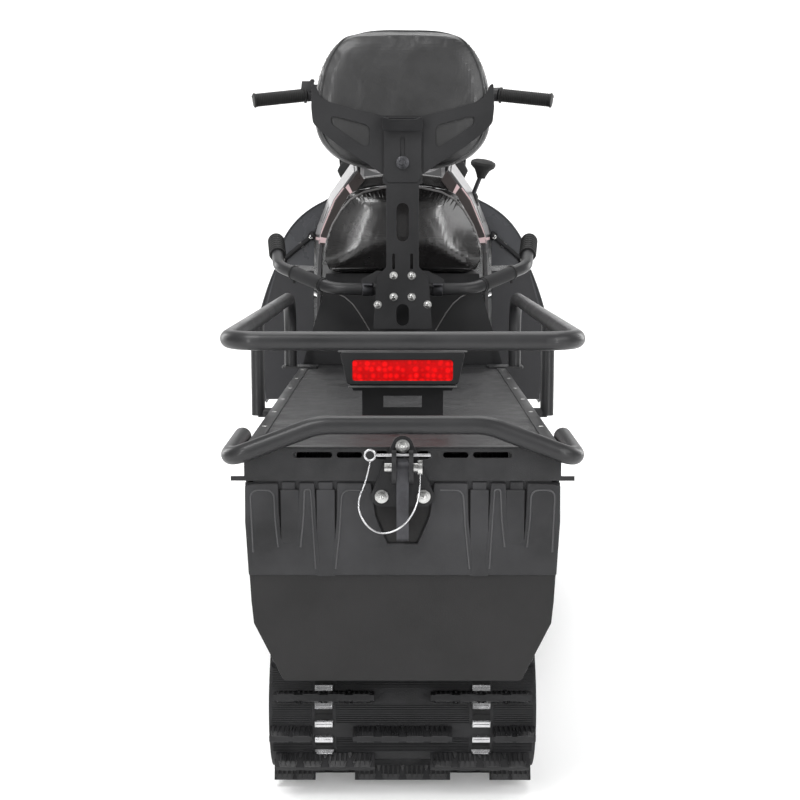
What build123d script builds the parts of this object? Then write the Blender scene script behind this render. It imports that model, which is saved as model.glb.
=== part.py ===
from build123d import *
from math import acos, atan2, cos, degrees, hypot, pi, radians, sin, sqrt, tan
import os

# Snowmobile, in mm: X to the rider's right, Y forward, Z up from the snow.

# Clearances
SEAT_GAP = 0.3            # between pieces that rest on each other
PIN_GAP = 0.4             # round a pin in its bore
MOVE_GAP = 8.0            # round pieces that swing

# Track
TAIL = -1447.0            # rearmost lug tip
TRACK_WIDTH = 380.0
TRACK_PITCH = 50.5
BELT = 7.0
LUG_HEIGHT = 21.0
LUG_BASE = 15.0
LUG_TIP = 8.0
IDLER_RADIUS = 100.0
SPROCKET_RADIUS = 72.0
BEND_RADIUS = 230.0
BEND_Y = -300.0
DRIVE_Y = 160.0
DRIVE_Z = 335.0
CARRIER_Y = -850.0
CARRIER_Z = 337.0
CARRIER_RADIUS = 70.0
CLIP_X = 112.0            # middle of each column of clips

# Tunnel and running boards
SHEET = 3.0
TUNNEL_HALF = 212.0
DECK_Z = 526.0
TUNNEL_REAR = -1495.0
TUNNEL_FRONT = 300.0
TUNNEL_SKIRT = 300.0
PANEL_DROP = 44.0
LIP_HALF = 230.0
BOARD_THICK = 18.0
BOARD_HALF = 322.0
BOARD_FRONT = 300.0

# Rear tubes
TUBE = 25.0
BUMPER_Y = -1512.0
HOOP_Z = 671.0
HOOP_HALF = 232.0
HOOP_POST_Y = -472.0
STAY_Y = -1077.0
STAY_TUBE = 22.0

# Seat and backrest
SEAT_REAR = -427.0
SEAT_FRONT = 110.0
SEAT_BOTTOM = 718.0
SEAT_TOP = 905.0
BASE_REAR = -401.0
BASE_TOP = 677.0
BASE_TOP_HALF = 167.0
POST_Y = -547.0
POST_HALF = 32.5
POST_SHEET = 5.0
CHANNEL_HALF = 39.0
CHANNEL_LOW = 900.0
CHANNEL_TOP = 1027.0
WING_HALF = 179.0
BACK_LOW = 933.0
BACK_TOP = 1205.0
BACK_THICK = 98.0
RAIL_Y = -497.0
RAIL_Z = 690.0

# Cowl
SKIN = 4.0
COVER_REAR = 38.0
COVER_FRONT = 400.0
NOSE_Y = 1320.0
HINGE_Y = 1290.0
HINGE_Z = 470.0
HINGE_PIN = 10.0
HINGE_X = 56.0

# Steering and skis
RAKE = 24.0
BAR_Y = 330.0
BAR_Z = 1062.0
COLUMN_TUBE = 30.0
COLUMN_FOOT_Z = 400.0
ARM_REACH = 80.0
STANCE = 740.0
SKI_WIDTH = 120.0
SKI_FOOT_Y = 1000.0
SKI_FOOT_Z = 74.0
SKI_REAR = 503.0
SKI_TIP_Y = 1544.0
SKI_PLATE = 10.0
KEEL = 12.0
SPINDLE = 24.0

MIRROR = ((-1, "left"), (1, "right"))
os.makedirs("parts", exist_ok=True)


def across(y):
    """Plane across the machine at y: sketch x is X and sketch y is Z."""
    return Plane.XZ.offset(-y)


def beside(x):
    """Plane along the machine at x: sketch x is Y and sketch y is Z."""
    return Plane.YZ.offset(x)


def finish(piece, name):
    """Label a piece and write it."""
    piece.label = name
    export_step(piece, f"parts/{name}.step")


def bent_bar(points, bends, diameter):
    """Round bar along straight runs joined by bends."""
    with BuildPart() as bar:
        with BuildLine() as path:
            if bends:
                FilletPolyline(*points, radius=bends)
            else:
                Polyline(*points)
        with BuildSketch(Plane(origin=path.line @ 0, z_dir=path.line % 0)):
            Circle(diameter / 2)
        sweep()
    return bar.part


def pair(make):
    """The left and the right one of a piece, as one piece."""
    with BuildPart() as piece:
        for side, _ in MIRROR:
            add(make(side))
    return piece.part


def rod(start, end, diameter):
    """Straight round bar between two points."""
    return bent_bar((start, end), None, diameter)


# Track: belt round the rear idler, the bend of the rails and the sprocket
IDLER_Y = TAIL + LUG_HEIGHT + BELT + IDLER_RADIUS
IDLER_Z = LUG_HEIGHT + BELT + IDLER_RADIUS
PULLEYS = (  # y, z, radius of the belt's inner face
    (IDLER_Y, IDLER_Z, IDLER_RADIUS),
    (BEND_Y, LUG_HEIGHT + BELT + BEND_RADIUS, BEND_RADIUS),
    (DRIVE_Y, DRIVE_Z, SPROCKET_RADIUS),
    (CARRIER_Y, CARRIER_Z, CARRIER_RADIUS),
)


def belt_runs(grow):
    """Arc round each pulley and the run to the next, grow mm outside the belt's inner face."""
    count = len(PULLEYS)
    facings = []
    for i in range(count):
        (ya, za, ra), (yb, zb, rb) = PULLEYS[i], PULLEYS[(i + 1) % count]
        lean = atan2(zb - za, yb - ya)
        facings.append(lean - acos((ra - rb) / hypot(yb - ya, zb - za)))
    runs = []
    for i in range(count):
        y, z, radius = PULLEYS[i]
        turn = (facings[i] - facings[i - 1]) % (2 * pi)
        y2, z2, radius2 = PULLEYS[(i + 1) % count]
        leave = (y + (radius + grow) * cos(facings[i]), z + (radius + grow) * sin(facings[i]))
        reach = (y2 + (radius2 + grow) * cos(facings[i]), z2 + (radius2 + grow) * sin(facings[i]))
        runs.append((y, z, radius + grow, facings[i - 1], turn, leave, reach))
    return runs


def belt_line(grow):
    """Edges of the belt's outline."""
    with BuildLine() as outline:
        for y, z, radius, start, turn, leave, reach in belt_runs(grow):
            CenterArc((y, z), radius, degrees(start), degrees(turn))
            Line(leave, reach)
    return outline.edges()


def belt_length(grow):
    """Length of the belt's outline."""
    total = 0
    for y, z, radius, start, turn, leave, reach in belt_runs(grow):
        total += radius * turn + hypot(reach[0] - leave[0], reach[1] - leave[1])
    return total


def belt_place(distance, grow):
    """Place on the belt's outline with its local Z pointing outward."""
    for y, z, radius, start, turn, leave, reach in belt_runs(grow):
        arc = radius * turn
        run = hypot(reach[0] - leave[0], reach[1] - leave[1])
        if distance < arc:
            angle = start + distance / radius
            spot = (y + radius * cos(angle), z + radius * sin(angle))
            break
        if distance < arc + run:
            angle = start + turn
            share = (distance - arc) / run
            spot = (leave[0] + share * (reach[0] - leave[0]), leave[1] + share * (reach[1] - leave[1]))
            break
        distance -= arc + run
    plane = Plane(origin=(0, *spot), x_dir=(1, 0, 0), z_dir=(0, cos(angle), sin(angle)))
    return plane.location


LUG_ROWS = (  # spans of X of the lugs in a row, taken in turn along the belt
    ((-182, -40), (40, 182)),
    ((-188, -128), (-70, 70), (128, 188)),
)
LUG_SINK = 2.0
PITCHES = 2 * round(belt_length(BELT / 2) / TRACK_PITCH / 2)


def lug_row(spans):
    """One row of lugs on a belt that lies flat."""
    with BuildPart() as row:
        for low, high in spans:
            with BuildSketch(Plane.YZ.offset(low)):
                Polygon(
                    (-LUG_BASE / 2, -LUG_SINK),
                    (LUG_BASE / 2, -LUG_SINK),
                    (LUG_TIP / 2, LUG_HEIGHT),
                    (-LUG_TIP / 2, LUG_HEIGHT),
                    align=None,
                )
            extrude(amount=high - low)
    return row.part


def belt_places(offset):
    """Every second pitch of the belt's outer face."""
    step = belt_length(BELT) / PITCHES
    return [belt_place((2 * i + offset) * step, BELT) for i in range(PITCHES // 2)]


def make_track():
    """Endless belt with its rows of lugs."""
    rows = [lug_row(spans) for spans in LUG_ROWS]
    with BuildPart() as track:
        with BuildSketch(Plane.YZ):
            make_face(belt_line(BELT))
            make_face(belt_line(0), mode=Mode.SUBTRACT)
        extrude(amount=TRACK_WIDTH / 2, both=True)
        for index, row in enumerate(rows):
            with Locations(*belt_places(index)):
                add(row)
    return track.part


finish(make_track(), "track")

# Rear suspension inside the track
RAIL_WIDTH = 18.0
RAIL_LOW = LUG_HEIGHT + BELT + SEAT_GAP
RAIL_TALL = 70.0
AXLE = 20.0
WHEEL_WIDTH = 22.0
RAIL_CURVE = 52.0         # degrees of the bend that the rails follow
HEAD_SHAFT = 26.0
CROSS_SHAFTS = (-1050.0, -700.0, -520.0, -330.0)
SHAFT_Z = RAIL_LOW + RAIL_TALL / 2


def make_slide_rails():
    """Two rails with a curved front, tied by cross shafts."""
    bend_z = LUG_HEIGHT + BELT + BEND_RADIUS
    outer = BEND_RADIUS - SEAT_GAP
    inner = outer - RAIL_TALL
    tip = radians(RAIL_CURVE)
    with BuildPart() as rails:
        for side, _ in MIRROR:
            with BuildSketch(beside(side * CLIP_X)):
                with BuildLine():
                    CenterArc((BEND_Y, bend_z), outer, -90, RAIL_CURVE)
                    CenterArc((BEND_Y, bend_z), inner, -90, RAIL_CURVE)
                    Line(
                        (BEND_Y + outer * sin(tip), bend_z - outer * cos(tip)),
                        (BEND_Y + inner * sin(tip), bend_z - inner * cos(tip)),
                    )
                    Line((BEND_Y, bend_z - outer), (IDLER_Y + 60, bend_z - outer))
                    Line((IDLER_Y + 60, bend_z - outer), (IDLER_Y - 30, IDLER_Z - 40))
                    Line((IDLER_Y - 30, IDLER_Z - 40), (IDLER_Y - 30, IDLER_Z + 30))
                    Line((IDLER_Y - 30, IDLER_Z + 30), (IDLER_Y + 60, IDLER_Z + 30))
                    Line((IDLER_Y + 60, IDLER_Z + 30), (IDLER_Y + 120, bend_z - inner))
                    Line((IDLER_Y + 120, bend_z - inner), (BEND_Y, bend_z - inner))
                make_face()
                with Locations((IDLER_Y, IDLER_Z)):
                    Circle(AXLE / 2 + PIN_GAP, mode=Mode.SUBTRACT)
            extrude(amount=RAIL_WIDTH / 2, both=True)
        for y in CROSS_SHAFTS:
            with BuildSketch(beside(0)):
                with Locations((y, SHAFT_Z)):
                    Circle(AXLE / 2)
            extrude(amount=CLIP_X, both=True)
    return rails.part


finish(make_slide_rails(), "slide_rails")


def wheel(y, z, x, radius, bore):
    """Spoked wheel on an axle along X."""
    with BuildPart() as disc:
        with BuildSketch(beside(x)):
            with Locations((y, z)):
                Circle(radius)
                Circle(bore, mode=Mode.SUBTRACT)
        extrude(amount=WHEEL_WIDTH / 2, both=True)
        with BuildSketch(beside(x)):
            with Locations((y, z)):
                Circle(radius * 0.8)
                Circle(radius * 0.35, mode=Mode.SUBTRACT)
        extrude(amount=WHEEL_WIDTH / 2, both=True, mode=Mode.SUBTRACT)
        with BuildSketch(beside(x)):
            with Locations((y, z)):
                with PolarLocations(radius * 0.57, 5):
                    Rectangle(radius * 0.5, 14)
        extrude(amount=5, both=True)
    return disc.part


WHEEL_X = 78.0
MID_WHEELS = (-980.0, -560.0)
MID_RADIUS = 62.0


def make_idler_wheels():
    """Rear idlers and the smaller wheels beside the rails."""
    mid_z = RAIL_LOW + MID_RADIUS
    with BuildPart() as wheels:
        for side, _ in MIRROR:
            add(wheel(IDLER_Y, IDLER_Z, side * WHEEL_X, IDLER_RADIUS - SEAT_GAP, AXLE / 2))
            for y in MID_WHEELS:
                add(wheel(y, mid_z, side * 146, MID_RADIUS, AXLE / 2))
            add(wheel(CARRIER_Y, CARRIER_Z, side * 130, CARRIER_RADIUS - SEAT_GAP, HEAD_SHAFT / 2 + PIN_GAP))
        with BuildSketch(beside(0)):
            with Locations((IDLER_Y, IDLER_Z)):
                Circle(AXLE / 2)
        extrude(amount=CLIP_X + RAIL_WIDTH, both=True)
        for side, _ in MIRROR:
            for y in MID_WHEELS:
                with BuildSketch(beside(side * (CLIP_X + RAIL_WIDTH / 2))):
                    with Locations((y, mid_z)):
                        Circle(AXLE / 2)
                extrude(amount=side * (146 + WHEEL_WIDTH / 2 - CLIP_X - RAIL_WIDTH / 2))
    return wheels.part


finish(make_idler_wheels(), "idler_wheels")

ARMS = (  # foot y, head y, head z of each suspension arm
    (CROSS_SHAFTS[1], CARRIER_Y, CARRIER_Z),
    (CROSS_SHAFTS[3], -60.0, 330.0),
)
ARM_X = 85.0


def make_suspension_arms():
    """Two pairs of arms between the rails' cross shafts and the tunnel's sides."""
    with BuildPart() as arms:
        for foot_y, head_y, head_z in ARMS:
            for side, _ in MIRROR:
                x = side * ARM_X
                add(rod((x, foot_y, SHAFT_Z), (x, head_y, head_z), AXLE))
                with BuildSketch(beside(x)):
                    with Locations((foot_y, SHAFT_Z)):
                        Circle(AXLE)
                extrude(amount=12, both=True)
            with BuildSketch(beside(0)):
                with Locations((head_y, head_z)):
                    Circle(HEAD_SHAFT / 2)
            extrude(amount=TUNNEL_HALF - SHEET - SEAT_GAP, both=True)
        for y in CROSS_SHAFTS:
            with BuildSketch(beside(0)):
                with Locations((y, SHAFT_Z)):
                    Circle(AXLE / 2 + PIN_GAP)
            extrude(amount=CLIP_X, both=True, mode=Mode.SUBTRACT)
    return arms.part


finish(make_suspension_arms(), "suspension_arms")


SHOCK_FEET = (CROSS_SHAFTS[2], CROSS_SHAFTS[3])
EYE_WALL = 6.0


def shock(low, high, eyes, body, spring, coils):
    """Damper with a coil spring drawn as a ribbed sleeve, between two bored eyes along X."""
    axis = Vector(*high) - Vector(*low)
    length = axis.length
    plane = Plane(origin=low, z_dir=axis)
    first = 0.16 * length
    pitch = 0.62 * length / coils
    with BuildPart() as damper:
        with BuildSketch(plane):
            Circle(body / 4)
        extrude(amount=length)
        with BuildSketch(plane.offset(0.14 * length)):
            Circle(body / 2)
        extrude(amount=0.72 * length)
        for i in range(coils):
            with BuildSketch(plane.offset(first + i * pitch)):
                Circle(spring / 2)
            extrude(amount=pitch * 0.45)
        for spot, bore in zip((low, high), eyes):
            with BuildSketch(Plane.YZ.offset(spot[0])):
                with Locations((spot[1], spot[2])):
                    Circle(bore / 2 + EYE_WALL)
            extrude(amount=body / 2 + 2, both=True)
            with BuildSketch(Plane.YZ.offset(spot[0])):
                with Locations((spot[1], spot[2])):
                    Circle(bore / 2)
            extrude(amount=body / 2 + 2, both=True, mode=Mode.SUBTRACT)
    return damper.part


def make_rear_shocks():
    """Centre shock and rear shock of the track's suspension."""
    with BuildPart() as shocks:
        for foot_y, (_, head_y, head_z) in zip(SHOCK_FEET, ARMS):
            eyes = (AXLE + 2 * PIN_GAP, HEAD_SHAFT + 2 * PIN_GAP)
            add(shock((0, foot_y, SHAFT_Z), (0, head_y, head_z), eyes, 25, 58, 9))
    return shocks.part


finish(make_rear_shocks(), "rear_shocks")

DRIVE_SHAFT = 34.0
TEETH = 9


def make_drive_sprockets():
    """Drive axle with two toothed sprockets."""
    with BuildPart() as drive:
        with BuildSketch(beside(0)):
            with Locations((DRIVE_Y, DRIVE_Z)):
                Circle(DRIVE_SHAFT / 2)
        extrude(amount=TUNNEL_HALF - SHEET - SEAT_GAP, both=True)
        for side, _ in MIRROR:
            with BuildSketch(beside(side * WHEEL_X)):
                with Locations((DRIVE_Y, DRIVE_Z)):
                    Circle(SPROCKET_RADIUS - 8)
                    with PolarLocations(sqrt((SPROCKET_RADIUS - SEAT_GAP) ** 2 - 49) - 8, TEETH):
                        Rectangle(16, 14)
            extrude(amount=15, both=True)
    return drive.part


finish(make_drive_sprockets(), "drive_sprockets")

# Tunnel: folded sheet with a rear panel and side skirts
PANEL_SLOTS = (  # middle, width and height of each slot along the fold
    (-120.0, 52.0, 8.0),
    (-71.0, 34.0, 8.0),
    (71.0, 34.0, 8.0),
    (120.0, 52.0, 8.0),
    (-28.0, 18.0, 11.0),
    (28.0, 18.0, 11.0),
)
SKIRT_REAR = -1340.0
FRONT_WALL_LOW = 240.0


def make_tunnel():
    """Deck, two sides, the rear panel with its lips, and the front wall."""
    with BuildPart() as tunnel:
        with BuildSketch(Plane.XY.offset(DECK_Z - SHEET)):
            with Locations((0, (TUNNEL_REAR + TUNNEL_FRONT) / 2)):
                Rectangle(2 * TUNNEL_HALF, TUNNEL_FRONT - TUNNEL_REAR)
        extrude(amount=SHEET)
        for side, _ in MIRROR:
            with BuildSketch(beside(side * TUNNEL_HALF)):
                Polygon(
                    (TUNNEL_REAR, DECK_Z),
                    (TUNNEL_FRONT, DECK_Z),
                    (TUNNEL_FRONT, FRONT_WALL_LOW),
                    (DRIVE_Y - 60, FRONT_WALL_LOW),
                    (DRIVE_Y - 120, TUNNEL_SKIRT),
                    (SKIRT_REAR, TUNNEL_SKIRT),
                    (TUNNEL_REAR + 16, DECK_Z - PANEL_DROP + 2),
                    (TUNNEL_REAR, DECK_Z - PANEL_DROP + 2),
                    align=None,
                )
            extrude(amount=-side * SHEET)
        with BuildSketch(across(TUNNEL_REAR)):
            with Locations((0, DECK_Z - PANEL_DROP / 2)):
                Rectangle(2 * TUNNEL_HALF, PANEL_DROP)
            with Locations((0, DECK_Z - PANEL_DROP + 3)):
                Rectangle(2 * LIP_HALF, 6)
        extrude(amount=-SHEET)
        with BuildSketch(across(TUNNEL_REAR)):
            for x, width, height in PANEL_SLOTS:
                with Locations((x, DECK_Z - 9)):
                    SlotOverall(width, height)
        extrude(amount=-SHEET, mode=Mode.SUBTRACT)
        with BuildSketch(across(TUNNEL_FRONT)):
            with Locations((0, (DECK_Z + FRONT_WALL_LOW) / 2)):
                Rectangle(2 * TUNNEL_HALF, DECK_Z - FRONT_WALL_LOW)
        extrude(amount=SHEET)
    return tunnel.part


finish(make_tunnel(), "tunnel")

BOARD_PLAN = (  # y and outer half width of the running board
    (-887.0, 236.0),
    (-620.0, 292.0),
    (-420.0, BOARD_HALF),
    (BOARD_FRONT, BOARD_HALF),
)
BOARD_EDGE = 22.0
BOARD_HOLE = (46.0, 14.0)
HOLE_STEP = 66.0


def make_footboard(side):
    """Perforated board with a rolled outer edge and a toe hold in front."""
    outer = [(side * x, y) for y, x in BOARD_PLAN]
    inner = side * (TUNNEL_HALF + SEAT_GAP)
    first = BOARD_PLAN[1][0]
    last = BOARD_PLAN[3][0]
    count = int((last - first) / HOLE_STEP)
    with BuildPart() as board:
        with BuildSketch(Plane.XY.offset(TUNNEL_SKIRT)):
            Polygon(*outer, (inner, last), (inner, outer[0][1]), align=None)
        extrude(amount=SHEET)
        with BuildSketch(beside(inner)):
            Polygon(
                (outer[0][1], TUNNEL_SKIRT),
                (last, TUNNEL_SKIRT),
                (last, TUNNEL_SKIRT + 2 * BOARD_THICK),
                (outer[0][1] + BOARD_THICK, TUNNEL_SKIRT + 2 * BOARD_THICK),
                align=None,
            )
        extrude(amount=side * SHEET)
        with BuildSketch(Plane.XY.offset(TUNNEL_SKIRT)):
            for i in range(count):
                with Locations((side * (TUNNEL_HALF + 55), first + (i + 0.5) * HOLE_STEP)):
                    SlotOverall(*BOARD_HOLE)
        extrude(amount=SHEET, mode=Mode.SUBTRACT)
        edge = [(side * x, y, TUNNEL_SKIRT + SHEET) for y, x in BOARD_PLAN]
        add(bent_bar(edge, [200, 200], BOARD_EDGE))
    return board.part


finish(pair(make_footboard), "footboards")

# Rear bumper and cargo hoop
BUMPER_Z = 560.0
BUMPER_LOW = 514.0
BUMPER_END = -1395.0


def make_rear_bumper():
    """Low bar whose ends turn forward along the tunnel's sides."""
    rest = TUNNEL_HALF + TUBE / 2 + SEAT_GAP
    points = [
        (-rest, BUMPER_END, 527),
        (-rest - 8, BUMPER_Y, BUMPER_LOW),
        (-112, BUMPER_Y, BUMPER_Z),
        (112, BUMPER_Y, BUMPER_Z),
        (rest + 8, BUMPER_Y, BUMPER_LOW),
        (rest, BUMPER_END, 527),
    ]
    return bent_bar(points, [26, 90, 90, 26], TUBE)


finish(make_rear_bumper(), "rear_bumper")

FOOT_PLATE = 4.0


def make_cargo_hoop():
    """Hoop over the cargo deck, with front posts and two stays at the rear."""
    top = DECK_Z + SEAT_GAP + FOOT_PLATE
    points = [
        (-HOOP_HALF, HOOP_POST_Y, top),
        (-HOOP_HALF, HOOP_POST_Y, HOOP_Z),
        (-HOOP_HALF, BUMPER_Y, HOOP_Z),
        (HOOP_HALF, BUMPER_Y, HOOP_Z),
        (HOOP_HALF, HOOP_POST_Y, HOOP_Z),
        (HOOP_HALF, HOOP_POST_Y, top),
    ]
    with BuildPart() as hoop:
        add(bent_bar(points, [60, 45, 45, 60], TUBE))
        for side, _ in MIRROR:
            with BuildSketch(Plane.XY.offset(DECK_Z + SEAT_GAP)):
                with Locations((side * (HOOP_HALF - 20), HOOP_POST_Y)):
                    RectangleRounded(74, 44, 8)
            extrude(amount=FOOT_PLATE)
            add(rod((side * 236, STAY_Y, 512), (side * 236, STAY_Y, HOOP_Z), STAY_TUBE))
            with BuildSketch(beside(side * (TUNNEL_HALF + SEAT_GAP))):
                with Locations((STAY_Y, 516)):
                    Circle(8)
            extrude(amount=side * (236 - TUNNEL_HALF))
    return hoop.part


finish(make_cargo_hoop(), "cargo_hoop")

# Tail lamp on its bracket
LAMP_Y = -1182.0
LAMP_LOW = 582.0
LAMP_TALL = 36.0
LAMP_HALF = 79.0


def make_lamp_bracket():
    """Folded plate on the deck that carries the tail lamp."""
    with BuildPart() as bracket:
        with BuildSketch(across(LAMP_Y)):
            Polygon(
                (-99, 629), (99, 629), (77, 565), (63, 565), (63, DECK_Z + SEAT_GAP),
                (-63, DECK_Z + SEAT_GAP), (-63, 565), (-77, 565), align=None,
            )
            with Locations((0, 548)):
                Rectangle(60, 18, mode=Mode.SUBTRACT)
        extrude(amount=-SHEET)
        with BuildSketch(Plane.XY.offset(DECK_Z + SEAT_GAP)):
            with Locations((0, LAMP_Y + 25)):
                Rectangle(126, 50)
        extrude(amount=SHEET)
    return bracket.part


def make_tail_lamp():
    """Lamp body with rounded ends."""
    with BuildPart() as lamp:
        with BuildSketch(across(LAMP_Y)):
            with Locations((0, LAMP_LOW + LAMP_TALL / 2)):
                RectangleRounded(2 * LAMP_HALF, LAMP_TALL, 10)
        extrude(amount=30)
    return lamp.part


finish(make_lamp_bracket(), "lamp_bracket")
finish(make_tail_lamp(), "tail_lamp")

# Snow flap
FLAP_Y = TUNNEL_REAR + SHEET + SEAT_GAP
FLAP_TAB = (200.0, 512.0)  # half width and top of the flange behind the panel
FLAP_THICK = 6.0
FLAP_OUTLINE = ((211, 479), (212, 427), (208, 371), (205, 316), (202, 285), (161, 204))
FLAP_NOTCH = ((33, 435), (16, 395))
FLAP_RIBS = (  # middle and bottom of each pressed channel
    (-151.0, 396.0),
    (-103.0, 352.0),
    (103.0, 352.0),
    (151.0, 396.0),
)


def make_rear_flap():
    """Rubber flap behind the track, with pressed channels and a notch for the hitch."""
    right = list(FLAP_OUTLINE)
    left = [(-x, z) for x, z in reversed(FLAP_OUTLINE)]
    notch = [(-FLAP_NOTCH[0][0], FLAP_OUTLINE[0][1] + 1), (-FLAP_NOTCH[0][0], FLAP_NOTCH[0][1])]
    notch += [(-FLAP_NOTCH[1][0], FLAP_NOTCH[1][1]), (FLAP_NOTCH[1][0], FLAP_NOTCH[1][1])]
    notch += [(FLAP_NOTCH[0][0], FLAP_NOTCH[0][1]), (FLAP_NOTCH[0][0], FLAP_OUTLINE[0][1] + 1)]
    with BuildPart() as flap:
        with BuildSketch(across(FLAP_Y)):
            Polygon(*right, *left, align=None)
            Polygon(*notch, align=None, mode=Mode.SUBTRACT)
            half, top = FLAP_TAB
            with Locations((0, (top + FLAP_OUTLINE[0][1]) / 2)):
                Rectangle(2 * half, top - FLAP_OUTLINE[0][1])
        extrude(amount=-FLAP_THICK)
        with BuildSketch(across(FLAP_Y)):
            for x, low in FLAP_RIBS:
                with Locations((x, (low + 470) / 2)):
                    Rectangle(24, 470 - low)
        extrude(amount=FLAP_THICK)
    return flap.part


finish(make_rear_flap(), "rear_flap")

# Hitch
HITCH_PLATE = 6.0
HITCH_BOLTS = ((0, 530), (28, 462), (-28, 462))
PIN_Z = 504.0
PIN_Y = -1518.0
PIN = 12.0
TONGUE_HALF = 8.0
TONGUE_EYE_Z = 418.0
TONGUE_EYE = 16.5
TONGUE_WIDE = 26.0
EAR = 23.0
CLIP_Z = 520.5
CLIP_WIRE = 4.0
CLIP_RING = 7.0
CLIP_LEFT = -36.0
CLIP_RIGHT = 37.0
RING_WIRE = 3.0
PIN_HEAD = (20.0, 26.0, 10.0)   # from x, to x, radius


def make_hitch_plate():
    """Three-bolt plate with two ears for the hitch pin."""
    back = TUNNEL_REAR - SEAT_GAP
    with BuildPart() as plate:
        with BuildSketch(across(back)):
            with BuildLine():
                Polyline(*HITCH_BOLTS, close=True)
            make_face()
            offset(amount=14)
        extrude(amount=HITCH_PLATE)
        for side, _ in MIRROR:
            with BuildSketch(beside(side * (TONGUE_HALF + SEAT_GAP))):
                with Locations((PIN_Y, PIN_Z)):
                    Circle(EAR)
                with Locations(((PIN_Y + back) / 2 - 3, PIN_Z)):
                    Rectangle(back - PIN_Y - HITCH_PLATE + 6, 2 * EAR - 8)
                with Locations((PIN_Y, PIN_Z)):
                    Circle(PIN / 2 + PIN_GAP, mode=Mode.SUBTRACT)
                with Locations((PIN_Y, CLIP_Z)):
                    Circle(CLIP_WIRE / 2 + PIN_GAP, mode=Mode.SUBTRACT)
            extrude(amount=side * 6)
    return plate.part


def make_hitch_tongue():
    """Hanging tongue with the towing eye."""
    with BuildPart() as tongue:
        with BuildSketch(beside(0)):
            SlotCenterToCenter(PIN_Z - TONGUE_EYE_Z, TONGUE_WIDE, rotation=90)
        extrude(amount=TONGUE_HALF, both=True)
        with BuildSketch(beside(0)):
            with Locations((0, (PIN_Z - TONGUE_EYE_Z) / 2)):
                Circle(PIN / 2 + PIN_GAP)
            with Locations((0, -(PIN_Z - TONGUE_EYE_Z) / 2)):
                Circle(TONGUE_EYE / 2)
        extrude(amount=TONGUE_HALF, both=True, mode=Mode.SUBTRACT)
    return tongue.part.moved(Location((0, PIN_Y, (PIN_Z + TONGUE_EYE_Z) / 2)))


def make_hitch_pin():
    """Cross pin through the ears and the tongue, with a head on the right."""
    first, last, radius = PIN_HEAD
    with BuildPart() as pin:
        add(rod((-24, PIN_Y, PIN_Z), (last, PIN_Y, PIN_Z), PIN))
        add(rod((first, PIN_Y, PIN_Z), (last, PIN_Y, PIN_Z), 2 * radius))
    return pin.part


def make_hitch_clip():
    """Locking wire through the ears with a ring on its left end."""
    ring_x = CLIP_LEFT - CLIP_RING
    with BuildPart() as clip:
        add(rod((CLIP_LEFT, PIN_Y, CLIP_Z), (CLIP_RIGHT, PIN_Y, CLIP_Z), CLIP_WIRE))
        with BuildSketch(Plane(origin=(ring_x, PIN_Y, CLIP_Z), x_dir=(1, 0, 0), z_dir=(0, 0, 1))):
            with Locations((CLIP_RING, 0)):
                Circle(RING_WIRE / 2)
        revolve(axis=Axis((ring_x, PIN_Y, CLIP_Z), (0, 1, 0)))
    return clip.part


TETHER = 2.4
TETHER_X = CLIP_LEFT - CLIP_RING
TETHER_ROUTE = [
    (TETHER_X, PIN_Y, CLIP_Z - CLIP_RING - RING_WIRE / 2 - SEAT_GAP),
    (-47.0, PIN_Y - 4.0, 489.0),
    (-61.0, PIN_Y - 16.0, 458.0),
    (-49.0, PIN_Y - 21.0, 430.0),
    (-26.0, PIN_Y - 23.0, 418.0),
    (1.0, PIN_Y - 24.0, 429.0),
    (17.0, PIN_Y - 21.0, 452.0),
    (23.0, PIN_Y - 5.0, 473.0),
    (23.0, PIN_Y, PIN_Z - PIN_HEAD[2] - SEAT_GAP),
]


def corner_bends(points):
    """Radius of each corner: 0.45 of its shorter run over the tangent of half the turn."""
    bends = []
    for before, here, after in zip(points, points[1:], points[2:]):
        a = Vector(*here) - Vector(*before)
        b = Vector(*after) - Vector(*here)
        turn = radians(a.get_angle(b))
        bends.append(0.45 * min(a.length, b.length) / tan(turn / 2))
    return bends


def make_hitch_tether():
    """Thin wire between the clip's ring and the head of the pin."""
    bends = corner_bends(TETHER_ROUTE)
    print("tether bends", [round(bend, 1) for bend in bends])
    tether = bent_bar(TETHER_ROUTE, bends, TETHER)
    with BuildLine() as path:
        FilletPolyline(*TETHER_ROUTE, radius=bends)
    length = sum(edge.length for edge in path.edges())
    print("tether length", round(length, 1), "volume ratio", tether.volume / (pi * TETHER ** 2 / 4 * length))
    return tether


finish(make_hitch_plate(), "hitch_plate")
finish(make_hitch_tongue(), "hitch_tongue")
finish(make_hitch_pin(), "hitch_pin")
finish(make_hitch_clip(), "hitch_clip")
finish(make_hitch_tether(), "hitch_tether")

# Seat base, seat, backrest
BASE_FRONT = COVER_REAR - 2.0


def make_seat_base():
    """Moulded base between the deck and the seat."""
    with BuildPart() as base:
        with BuildSketch(across(BASE_REAR)):
            Polygon(
                (-TUNNEL_HALF, DECK_Z + SEAT_GAP),
                (TUNNEL_HALF, DECK_Z + SEAT_GAP),
                (BASE_TOP_HALF, BASE_TOP),
                (BASE_TOP_HALF - 6, SEAT_BOTTOM - SEAT_GAP),
                (6 - BASE_TOP_HALF, SEAT_BOTTOM - SEAT_GAP),
                (-BASE_TOP_HALF, BASE_TOP),
                align=None,
            )
        extrude(amount=BASE_REAR - BASE_FRONT)
    return base.part


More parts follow.
